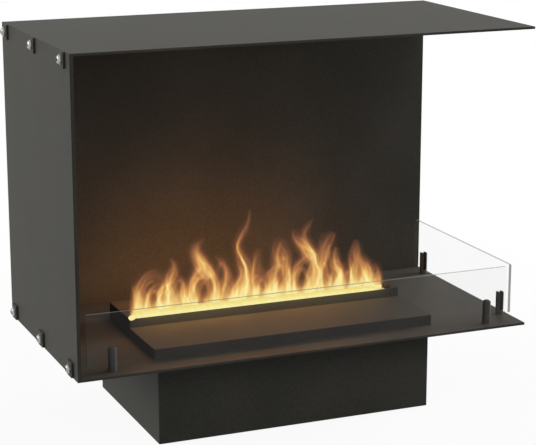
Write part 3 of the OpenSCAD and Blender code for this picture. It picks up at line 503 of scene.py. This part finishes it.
def lattice(x, z, seed):
    across, upward = tableSize
    table = np.random.default_rng(seed).random(tableSize)
    ix, iz = np.floor(x).astype(int), np.floor(z).astype(int)
    fx, fz = x - ix, z - iz
    fx, fz = fx * fx * (3 - 2 * fx), fz * fz * (3 - 2 * fz)
    ax, bx, az, bz = ix % across, (ix + 1) % across, iz % upward, (iz + 1) % upward
    low = table[ax, az] * (1 - fx) + table[bx, az] * fx
    high = table[ax, bz] * (1 - fx) + table[bx, bz] * fx
    return low * (1 - fz) + high * fz


def cloud(x, z, seed, octaves, shift=13.7):
    parts = [lattice(x * 2 ** k + shift * k, z * 2 ** k, seed + k) / 2 ** k for k in range(octaves)]
    return sum(parts) / (2 - 0.5 ** (octaves - 1))


# Paths from root to tip, in millimetres from the side panel's face and from the hearth plate's underside:
# points, half width at root and tip, strength, brightness of the thread along the middle
flamePaths = [
    ([(160, 34), (163, 60), (172, 82), (186, 98), (206, 100), (222, 96)], 11, 8, 0.45, 0.3),
    ([(182, 36), (184, 60), (193, 78), (205, 84)], 12, 6, 0.6, 0.35),
    ([(212, 34), (207, 62), (214, 84), (224, 92)], 12, 8, 0.85, 0.4),
    ([(228, 34), (226, 64), (224, 84), (229, 99), (233, 113), (229, 128)], 14, 6, 1.0, 0.4),
    ([(252, 36), (250, 72), (240, 96)], 10, 6, 0.55, 0.3),
    ([(303, 34), (304, 62), (300, 86), (291, 105), (279, 122), (274, 142), (286, 158)], 10, 5, 0.8, 1.0),
    ([(264, 36), (264, 66), (268, 88), (280, 104), (272, 122), (263, 138)], 13, 9, 0.75, 0.4),
    ([(296, 86), (284, 108), (272, 128), (268, 150)], 10, 8, 0.75, 0.0),
    ([(312, 36), (326, 66), (330, 90), (320, 112), (306, 124)], 10, 8, 0.5, 0.2),
    ([(357, 34), (364, 70), (363, 94), (354, 116), (347, 136), (352, 154), (366, 176), (372, 200)],
     11, 4, 0.7, 1.3),
    ([(345, 34), (348, 60), (356, 84), (352, 112)], 12, 6, 0.8, 0.25),
    ([(375, 36), (378, 62), (368, 86)], 9, 5, 0.6, 0.5),
    ([(372, 50), (380, 96), (392, 128)], 14, 12, 0.4, 0.1),
    ([(408, 34), (412, 66), (422, 92), (420, 112), (430, 142)], 12, 9, 0.85, 0.4),
    ([(440, 34), (439, 66), (439, 92), (441, 108), (436, 122), (426, 136)], 10, 7, 0.9, 0.8),
    ([(487, 34), (491, 78), (488, 106), (480, 128), (474, 146), (480, 160), (492, 174)], 14, 5, 1.0, 0.6),
    ([(455, 34), (455, 72), (464, 96), (482, 108)], 9, 7, 0.7, 0.5),
    ([(488, 100), (474, 122), (460, 138), (458, 156)], 12, 8, 0.7, 0.2),
    ([(508, 36), (506, 70), (507, 92), (508, 112), (514, 128), (526, 144)], 11, 10, 0.75, 0.3),
    ([(540, 34), (538, 68), (528, 92), (534, 116)], 13, 7, 1.0, 0.5),
    ([(574, 34), (574, 70), (569, 98), (571, 126)], 14, 6, 0.85, 0.3),
    ([(600, 34), (594, 64), (582, 96)], 12, 8, 0.75, 0.3),
    ([(618, 34), (620, 50), (618, 68)], 4, 2, 0.6, 0.6)]

# Dark pockets between flames: place, half width, half height, depth
flamePockets = [
    (195, 63, 7.5, 10, 0.7), (240, 76, 5.5, 10, 0.55), (286, 63, 8, 14, 0.8), (316, 94, 8, 15, 0.5),
    (383, 70, 4.7, 9, 0.5), (391, 66, 4.4, 6.6, 0.5), (427, 74, 7, 18, 0.75), (467, 65, 9.5, 17, 0.8),
    (511, 72, 4.6, 16, 0.6), (557, 56, 4.6, 12, 0.5)]

flameLook = {
    "left": 0.148, "right": 0.634, "low": 0.0345, "high": 0.212, "cell": 0.0012, "fold": 0.75, "strands": 64,
    "body": 0.7, "haze": 0.7, "root": 0.5, "thread": 1.0, "veil": 0.5, "thick": 1.7, "faintest": 0.015}

# How strands fold: waves across a flame and up it (waves, shift, rise, share), how high single strands reach
# and how they fade out
foldLook = {
    "waves": [(1.1, 40.3, 34, 1), (2.6, 11.7, 19, 0.5)], "rootFold": 0.35, "opens": 3, "pinch": 1.3,
    "reach": 0.82, "middle": 0.22, "ragged": 0.3, "raggedWaves": 2.2, "raggedShift": 70, "raggedRow": 3.3,
    "raggedMean": 0.4, "fade": 0.5, "fadeCurve": 1.1, "rim": 0.8, "step": 600}

# Bright threads in the flames, small tongues between them, and bright arches around the dark pockets
threadLook = {"root": 1.0, "tip": 0.6, "fold": 0.4, "strands": 12}
tongueLook = {
    "count": 60, "foot": 34, "place": (160, 618), "tall": (18, 60), "lean": (-9, 9), "root": (4, 9), "tip": 3,
    "strength": (0.3, 0.8), "fold": 0.6, "strands": 30}
pocketLook = {
    "outer": 1.35, "soft": 0.8, "arch": 0.3, "wide": 4.5, "fold": 0.8, "fade": 0.3, "strands": 30,
    "line": [(-1.15, -1.3), (-1.2, -0.3), (-0.8, 0.8), (0, 1.2), (0.8, 0.8), (1.2, -0.3), (1.15, -1.3)]}

# How the light changes from the slot upwards and towards the ends, in millimetres, and how warm it is
fieldLook = {
    "dimFrom": 38, "dimSpan": 110, "bodyDim": 0.25, "threadDim": 0.2,
    "rootFrom": 35, "rootSpan": 14, "rootCurve": 1.3, "rootWide": 9, "rootTall": 40, "rootGain": 2.2,
    "rootLess": 0.7, "veilWide": 34, "veilTall": 46, "veilLess": 0.35, "veilTop": 140, "veilSpan": 70,
    "leftEnd": 150, "leftSpan": 14, "rightEnd": 636, "rightSpan": 16,
    "warmLight": 0.44, "warmRoot": 0.35, "warmHigh": 0.12, "warmLeast": 0.05}


def smoothPath(points, steps=12):
    rows = [np.array(row, float) for row in (points[0], *points, points[-1])]
    out = []
    for a, b, c, d in zip(rows, rows[1:], rows[2:], rows[3:]):
        slope, bend, twist = c - a, 2 * a - 5 * b + 4 * c - d, 3 * b - a - 3 * c + d
        for t in (k / steps for k in range(steps)):
            out.append(0.5 * (2 * b + slope * t + bend * t ** 2 + twist * t ** 3))
    return np.array(out + [rows[-1]])


def splat(grid, x, z, weight):
    look = flameLook
    gx = (x - look["left"] * perMetre) / (look["cell"] * perMetre)
    gz = (z - look["low"] * perMetre) / (look["cell"] * perMetre)
    ix, iz = np.floor(gx).astype(int), np.floor(gz).astype(int)
    fx, fz = gx - ix, gz - iz
    rows, cols = grid.shape
    corners = ((0, 0, (1 - fx) * (1 - fz)), (1, 0, fx * (1 - fz)), (0, 1, (1 - fx) * fz), (1, 1, fx * fz))
    for dx, dz, part in corners:
        inside = (ix + dx >= 0) & (ix + dx < cols) & (iz + dz >= 0) & (iz + dz < rows)
        np.add.at(grid, ((iz + dz)[inside], (ix + dx)[inside]), (weight * part)[inside])


def addStrands(grid, points, rootWide, tipWide, strength, seed, fold, ends=0.0, count=None):
    look = foldLook
    cell = flameLook["cell"]
    count = count or flameLook["strands"]
    spine = smoothPath(points)
    run = np.concatenate([[0], np.cumsum(np.hypot(*np.diff(spine, axis=0).T))])
    steps = int(run[-1] / (cell * look["step"])) + 2
    t = np.linspace(0, 1, steps)
    sx, sz = np.interp(t * run[-1], run, spine[:, 0]), np.interp(t * run[-1], run, spine[:, 1])
    tx, tz = np.gradient(sx), np.gradient(sz)
    long = np.hypot(tx, tz) + 1e-9
    bend = np.abs(np.gradient(tx / long) * tz / long - np.gradient(tz / long) * tx / long) / long
    u = np.linspace(-1, 1, count)[:, None]
    tt = t[None, :]
    wide = rootWide + (tipWide - rootWide) * tt
    swing = 0
    for k, (waves, shift, rise, share) in enumerate(look["waves"]):
        swing = swing + share * (2 * lattice(u * waves + shift, tt * run[-1] / rise, seed + k) - 1)
    opened = look["rootFold"] + (1 - look["rootFold"]) * np.clip(tt * look["opens"], 0, 1)
    off = wide * (u + fold * swing * opened)
    off = off / np.sqrt(1 + (look["pinch"] * bend * wide) ** 2)
    x = sx + off * (-tz / long)
    z = sz + off * (tx / long)
    ragged = lattice(u * look["raggedWaves"] + look["raggedShift"], look["raggedRow"], seed + 2)
    reach = look["reach"] + look["middle"] * (1 - u * u) + look["ragged"] * (ragged - look["raggedMean"])
    fade = np.clip((reach - tt) / look["fade"], 0, 1) ** look["fadeCurve"] * (1 - u ** 4 * look["rim"])
    if ends:
        fade = np.clip(tt / ends, 0, 1) * np.clip((1 - tt) / ends, 0, 1) * (1 - u * u)
    weight = strength * fade * (2 * wide / count) * (run[-1] / steps) / (cell * perMetre) ** 2
    splat(grid, x.ravel(), z.ravel(), np.broadcast_to(weight, x.shape).ravel())


def soften(grid, times):
    for k in range(times):
        grid = np.pad(grid, 1, mode="edge")
        grid = 0.25 * grid[:-2] + 0.5 * grid[1:-1] + 0.25 * grid[2:]
        grid = 0.25 * grid[:, :-2] + 0.5 * grid[:, 1:-1] + 0.25 * grid[:, 2:]
    return grid


def addTongues(bodies, seed):
    look = tongueLook
    chance = np.random.default_rng(seed)
    for k in range(look["count"]):
        x, tall, lean = (chance.uniform(*look[key]) for key in ("place", "tall", "lean"))
        foot = look["foot"]
        points = [(x, foot), (x + 0.2 * lean, foot + tall * 0.4), (x - 0.2 * lean, foot + tall * 0.7),
                  (x + lean, foot + tall)]
        addStrands(bodies, points, chance.uniform(*look["root"]), look["tip"],
                   chance.uniform(*look["strength"]), seed + 300 + 5 * k, look["fold"], count=look["strands"])


def addPockets(threads, mx, mz, seed):
    look = pocketLook
    dark = 1
    for k, (x, z, wide, high, depth) in enumerate(flamePockets):
        edge = np.hypot((mx - x) / wide, (mz - z) / high)
        dark = dark * (1 - depth * np.clip((look["outer"] - edge) / look["soft"], 0, 1))
        points = [(x + wide * a, z + high * b) for a, b in look["line"]]
        addStrands(threads, points, look["wide"], look["wide"], look["arch"] * depth, seed + 500 + 9 * k,
                   look["fold"], look["fade"], look["strands"])
    return dark


def flameSheet(mx, mz, seed):
    look = threadLook
    bodies, threads = np.zeros_like(mx), np.zeros_like(mx)
    for k, (points, rootWide, tipWide, strength, line) in enumerate(flamePaths):
        addStrands(bodies, points, rootWide, tipWide, strength, seed + 7 * k, flameLook["fold"])
        if line:
            addStrands(threads, points, look["root"], look["tip"], line, seed + 7 * k, look["fold"],
                       count=look["strands"])
    addTongues(bodies, seed)
    dark = addPockets(threads, mx, mz, seed)
    bodies = soften(bodies, 2)
    threads = soften(threads, 1)
    return bodies * dark, threads


def flameField(mx, mz, seed):
    look, field = flameLook, fieldLook
    up = np.clip((mz - field["dimFrom"]) / field["dimSpan"], 0, 1)
    bodies, threads = flameSheet(mx, mz, seed)
    bodies = bodies + look["haze"] * soften(bodies, 40)
    light = look["body"] * bodies * (1 - field["bodyDim"] * up)
    light = light + look["thread"] * threads * (1 - field["threadDim"] * up)
    root = np.exp(-(np.clip(mz - field["rootFrom"], 0, None) / field["rootSpan"]) ** field["rootCurve"])
    lumps = cloud(mx / field["rootWide"], mz / field["rootTall"], 3, 2)
    light = light + look["root"] * root * np.clip(field["rootGain"] * lumps - field["rootLess"], 0, 1)
    veil = cloud(mx / field["veilWide"] + 3, mz / field["veilTall"], seed + 90, 3)
    veil = look["veil"] * np.clip(veil - field["veilLess"], 0, 1)
    veil = veil * np.clip((field["veilTop"] - mz) / field["veilSpan"], 0, 1)
    light += veil * soften(np.clip(bodies, 0, 0.5), 30)
    leftFade = np.clip((mx - field["leftEnd"]) / field["leftSpan"], 0, 1)
    light *= leftFade * np.clip((field["rightEnd"] - mx) / field["rightSpan"], 0, 1)
    warmth = field["warmLight"] * light + field["warmRoot"] * root - field["warmHigh"] * up
    return light, np.clip(warmth + field["warmLeast"], 0, 1)


def addAttribute(piece, key, values):
    layer = piece.data.attributes.new(key, "FLOAT", "POINT")
    layer.data.foreach_set("value", np.asarray(values, np.float32))


def slide(part, x, z):
    look = flameLook
    rows, cols = part.shape
    gx = np.clip((x - look["left"]) / look["cell"], 0, cols - 1.001)
    gz = np.clip((z - look["low"]) / look["cell"], 0, rows - 1.001)
    ix, iz = gx.astype(int), gz.astype(int)
    fx, fz = gx - ix, gz - iz
    low = part[iz, ix] * (1 - fx) + part[iz, ix + 1] * fx
    high = part[iz + 1, ix] * (1 - fx) + part[iz + 1, ix + 1] * fx
    return low * (1 - fz) + high * fz


# The side panel's face and the hearth plate's underside, from which the flames count, the curtain's waves,
# and the photograph's line of sight, along which the sway slides the pattern back
curtainLook = {
    "panelFace": -0.395, "hearth": 0.142, "wave": 96, "foot": 0.03, "footSpan": 0.03, "footSway": 0.4,
    "ripple": 0.3, "rippleWave": 181, "rippleRise": 60, "sightX": 0.417, "sightZ": 0.268}


def addCurtain(name, depth, sway, seed, level, finish):
    look, curtain = flameLook, curtainLook
    xs = np.arange(look["left"], look["right"], look["cell"])
    zs = np.arange(look["low"], look["high"], look["cell"])
    gx, gz = np.meshgrid(xs, zs)
    rising = np.clip((gz - curtain["foot"]) / curtain["footSpan"], curtain["footSway"], 1)
    gy = depth + sway * np.sin(gx * curtain["wave"] + seed) * rising
    gy += curtain["ripple"] * sway * np.sin(gx * curtain["rippleWave"] + gz * curtain["rippleRise"] + seed)
    seenX, seenZ = gx - curtain["sightX"] * gy, gz + curtain["sightZ"] * gy
    field = flameField(gx * perMetre, gz * perMetre, seed)
    light, warmth = (slide(part, seenX, seenZ) for part in field)
    alpha = 1 - np.exp(-look["thick"] * level * light)
    keep = alpha.ravel() > look["faintest"]
    index = np.arange(gx.size).reshape(gx.shape)
    quads = np.stack([index[:-1, :-1], index[:-1, 1:], index[1:, 1:], index[1:, :-1]], -1).reshape(-1, 4)
    quads = quads[keep[quads].any(1)]
    used = np.unique(quads)
    remap = np.full(gx.size, -1)
    remap[used] = np.arange(len(used))
    verts = np.stack([gx + curtain["panelFace"], gy, gz + curtain["hearth"]], -1).reshape(-1, 3)[used]
    piece = addPiece(name, verts.tolist(), remap[quads].tolist(), finish, "base")
    addAttribute(piece, "glow", alpha.ravel()[used])
    addAttribute(piece, "warmth", warmth.ravel()[used])
    piece.visible_diffuse = False
    piece.visible_shadow = False


def litVapour(name, look):
    mat, tree, skin = newTree(name)
    warmth = tree.nodes.new("ShaderNodeAttribute")
    warmth.attribute_name = "warmth"
    glow = tree.nodes.new("ShaderNodeAttribute")
    glow.attribute_name = "glow"
    wisps = noiseOf(tree, objectCoords(tree, look["stretch"]), look["wisps"], 3, 0.6)
    tree.links.new(ramp(tree, warmth.outputs["Fac"], look["colour"]), skin.inputs["Emission Color"])
    thinned = spread(tree, wisps, look["thin"], 1.0, look["start"], look["end"])
    tree.links.new(maths(tree, "MULTIPLY", glow.outputs["Fac"], thinned), skin.inputs["Alpha"])
    skin.inputs["Base Color"].default_value = (0, 0, 0, 1)
    skin.inputs["Roughness"].default_value = 1.0
    skin.inputs["Specular IOR Level"].default_value = 0.0
    skin.inputs["Emission Strength"].default_value = look["strength"]
    mat.cycles.emission_sampling = "NONE"
    return mat


flameVapour = litVapour("flameVapour", {
    "colour": [(0, (0.42, 0.155, 0.08)), (0.25, (0.64, 0.26, 0.09)), (0.5, (0.86, 0.45, 0.13)),
               (0.75, (0.97, 0.68, 0.23)), (1, (1.0, 0.88, 0.38))],
    "stretch": (1, 1, 0.35), "wisps": 90.0, "start": 0.3, "end": 0.6, "thin": 0.75, "strength": 1.0})
slotVapour = litVapour("slotVapour", {
    "colour": [(0, (0.62, 0.40, 0.12)), (0.3, (0.84, 0.66, 0.19)), (0.7, (0.92, 0.76, 0.24)),
               (1, (1.0, 0.91, 0.40))],
    "stretch": (1, 1, 0.35), "wisps": 60.0, "start": 0.3, "end": 0.6, "thin": 0.95, "strength": 1.0})
addCurtain("flameCurtainFront", -0.004, 0.008, 3, 0.7, flameVapour)
addCurtain("flameCurtainBack", 0.006, 0.008, 23, 0.5, flameVapour)


# The glowing bed of vapour that fills the slot and spills over the head's front edge
bedLook = {
    "left": -0.2392, "right": 0.2263, "front": -0.0203, "back": 0.0165, "low": 0.1782, "high": 0.008,
    "across": 14, "along": 310, "seed": 8, "phase": 6.28, "waves": (60, 145, 310, 520), "lump": 0.0006,
    "leftTaper": (0.004, 0.012), "rightTaper": (1.003, 0.06), "thins": 0.45, "narrows": 0.25, "endWide": 0.35,
    "lean": 0.85, "round": 0.7, "cools": 1.1, "flicker": 0.08, "fades": 1.5, "backGlow": 0.25, "endGlow": 0.4}


def addBed():
    look = bedLook
    across, along = look["across"], look["along"]
    verts, faces, warmths, glows = [], [], [], []
    chance = random.Random(look["seed"])
    lumps = [chance.uniform(0, look["phase"]) for pitch in look["waves"]]
    for i in range(along + 1):
        t = i / along
        x = look["left"] + (look["right"] - look["left"]) * t
        wave = sum(math.sin(x * pitch + lump) for pitch, lump in zip(look["waves"], lumps)) / len(lumps)
        taper = min(1, (t + look["leftTaper"][0]) / look["leftTaper"][1])
        taper *= min(1, (look["rightTaper"][0] - t) / look["rightTaper"][1])
        high = (look["high"] * (1 - look["thins"] * t) + look["lump"] * wave) * taper
        full = look["endWide"] + (1 - look["endWide"]) * taper
        back = look["front"] + (look["back"] - look["front"]) * (1 - look["narrows"] * t) * full
        for k in range(across + 1):
            s = k / across
            y = look["front"] + (back - look["front"]) * s
            crown = math.sin(math.pi * s ** look["lean"]) ** look["round"]
            verts.append((x, y, look["low"] + high * crown))
            warmths.append(1 - look["cools"] * s + look["flicker"] * wave)
            glow = min(1, look["fades"] * (1 - s) + look["backGlow"])
            glows.append(glow * (look["endGlow"] + (1 - look["endGlow"]) * taper))
    for i in range(along):
        for k in range(across):
            a = i * (across + 1) + k
            faces.append((a, a + across + 1, a + across + 2, a + 1))
    bed = addPiece("vapourBed", verts, faces, slotVapour, "base")
    addAttribute(bed, "warmth", warmths)
    addAttribute(bed, "glow", glows)
    bed.visible_diffuse = False
    bed.visible_shadow = False


# The small bright bead at the bed's left end, drawn out to the right, with a slight swell along two axes
beadLook = {
    "place": (-0.2474, -0.0195, 0.18), "radius": 0.0046, "swellX": 0.05, "waveX": 900, "swellZ": 0.04,
    "waveZ": 1100, "long": 1.9, "low": 0.85, "warmth": 0.95}


def addBead():
    look = beadLook
    work = bmesh.new()
    bmesh.ops.create_icosphere(work, subdivisions=4, radius=look["radius"])
    for vert in work.verts:
        swell = 1 + look["swellX"] * math.sin(look["waveX"] * vert.co.x)
        swell += look["swellZ"] * math.sin(look["waveZ"] * vert.co.z + 1)
        vert.co *= swell
        if vert.co.x > 0:
            vert.co.x *= look["long"]
            vert.co.z *= look["low"]
    bmesh.ops.translate(work, verts=work.verts, vec=look["place"])
    mesh = bpy.data.meshes.new("vapourBead")
    work.to_mesh(mesh)
    work.free()
    for face in mesh.polygons:
        face.use_smooth = True
    bead = bpy.data.objects.new("vapourBead", mesh)
    bpy.context.scene.collection.objects.link(bead)
    mesh.materials.append(slotVapour)
    addAttribute(bead, "warmth", [look["warmth"]] * len(mesh.vertices))
    addAttribute(bead, "glow", [1.0] * len(mesh.vertices))
    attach(bead, "base")
    bead.visible_diffuse = False
    bead.visible_shadow = False


addBed()
addBead()
print("flames made")

# Floor, world and lamps
stageLook = {
    "floor": (0.93, 0.93, 0.925), "bounce": (0.15, 0.15, 0.15), "world": 0.2, "shade": 0.93, "near": 0.5,
    "far": 1.5, "half": 9, "drop": 0.0004}


def shownRays(tree):
    rays = tree.nodes.new("ShaderNodeLightPath")
    shown = maths(tree, "MAXIMUM", rays.outputs["Is Camera Ray"], rays.outputs["Is Glossy Ray"])
    return maths(tree, "MAXIMUM", shown, rays.outputs["Is Transmission Ray"])


def paleFloor():
    mat = bpy.data.materials.new("paleFloor")
    mat.use_nodes = True
    tree = mat.node_tree
    tree.nodes.clear()
    out = tree.nodes.new("ShaderNodeOutputMaterial")
    matt = tree.nodes.new("ShaderNodeBsdfDiffuse")
    colour = ramp(tree, shownRays(tree), [(0, stageLook["bounce"]), (1, stageLook["floor"])])
    tree.links.new(colour, matt.inputs["Color"])
    white = tree.nodes.new("ShaderNodeEmission")
    mix = tree.nodes.new("ShaderNodeMixShader")
    coords = tree.nodes.new("ShaderNodeTexCoord")
    reach = tree.nodes.new("ShaderNodeVectorMath")
    reach.operation = "LENGTH"
    tree.links.new(coords.outputs["Object"], reach.inputs[0])
    fade = spread(tree, reach.outputs["Value"], stageLook["shade"], 1.0, stageLook["near"], stageLook["far"])
    tree.links.new(maths(tree, "MULTIPLY", shownRays(tree), fade), mix.inputs["Fac"])
    tree.links.new(matt.outputs["BSDF"], mix.inputs[1])
    tree.links.new(white.outputs["Emission"], mix.inputs[2])
    tree.links.new(mix.outputs["Shader"], out.inputs["Surface"])
    mesh = bpy.data.meshes.new("floor")
    half, low = stageLook["half"], -stageLook["drop"]
    corners = [(-half, -half, low), (half, -half, low), (half, half, low), (-half, half, low)]
    mesh.from_pydata(corners, [], [(0, 1, 2, 3)])
    floor = bpy.data.objects.new("floor", mesh)
    mesh.materials.append(mat)
    bpy.context.scene.collection.objects.link(floor)


def softWorld():
    world = bpy.data.worlds.new("softRoom")
    bpy.context.scene.world = world
    world.use_nodes = True
    tree = world.node_tree
    tree.nodes.clear()
    out = tree.nodes.new("ShaderNodeOutputWorld")
    room = tree.nodes.new("ShaderNodeBackground")
    white = tree.nodes.new("ShaderNodeBackground")
    mix = tree.nodes.new("ShaderNodeMixShader")
    room.inputs["Strength"].default_value = stageLook["world"]
    room.inputs["Color"].default_value = (1, 1, 1, 1)
    white.inputs["Color"].default_value = (1, 1, 1, 1)
    tree.links.new(shownRays(tree), mix.inputs["Fac"])
    tree.links.new(room.outputs["Background"], mix.inputs[1])
    tree.links.new(white.outputs["Background"], mix.inputs[2])
    tree.links.new(mix.outputs["Shader"], out.inputs["Surface"])


paleFloor()
softWorld()


lampLook = {
    "leftLowLamp": {"place": (-4.0, 1.0, 1.2), "aim": (0, 0, 0.3), "size": (3, 3), "power": 21},
    "leftHighLamp": {"place": (-4.0, 1.0, 2.6), "aim": (0, 0, 0.3), "size": (3, 3), "power": 80},
    "rightLamp": {
        "place": (3.4, 0.3, 1.0), "aim": (0.2, 0, 0.3), "size": (1.6, 1.6), "power": 120, "glint": False},
    "frontHighLamp": {
        "place": (0.4, -2.2, 2.2), "aim": (0, 0, 0.3), "size": (1.6, 1.6), "power": 9, "glint": False},
    "frontLowLamp": {"place": (-0.6, -3.0, 0.7), "aim": (0, 0, 0.3), "size": (1.2, 1.2), "power": 3},
    "flameBackLamp": {
        "place": (-0.05, 0.03, 0.22), "aim": (-0.05, 0.3, 0.25), "size": (0.4, 0.05), "power": 0.28,
        "color": (1.0, 0.34, 0.02)},
    "flameFrontLamp": {
        "place": (-0.05, -0.03, 0.26), "aim": (-0.05, -0.03, 0.0), "size": (0.4, 0.05), "power": 0.35,
        "color": (1.0, 0.37, 0.04)},
    "slotSpillLamp": {
        "place": (-0.006, -0.031, 0.188), "aim": (-0.006, -0.02, 0.165), "size": (0.46, 0.01), "power": 0.04,
        "color": (1.0, 0.85, 0.35)}}


def addLamp(name, look):
    data = bpy.data.lights.new(name, "AREA")
    data.shape = "RECTANGLE"
    data.size, data.size_y = look["size"]
    data.energy = look["power"]
    data.color = look.get("color", (1, 1, 1))
    lamp = bpy.data.objects.new(name, data)
    lamp.location = look["place"]
    lamp.rotation_euler = (Vector(look["aim"]) - Vector(look["place"])).to_track_quat("-Z", "Y").to_euler()
    bpy.context.scene.collection.objects.link(lamp)
    lamp.visible_camera = False
    lamp.visible_glossy = look.get("glint", True)


for lampName, look in lampLook.items():
    addLamp(lampName, look)
print("lit")
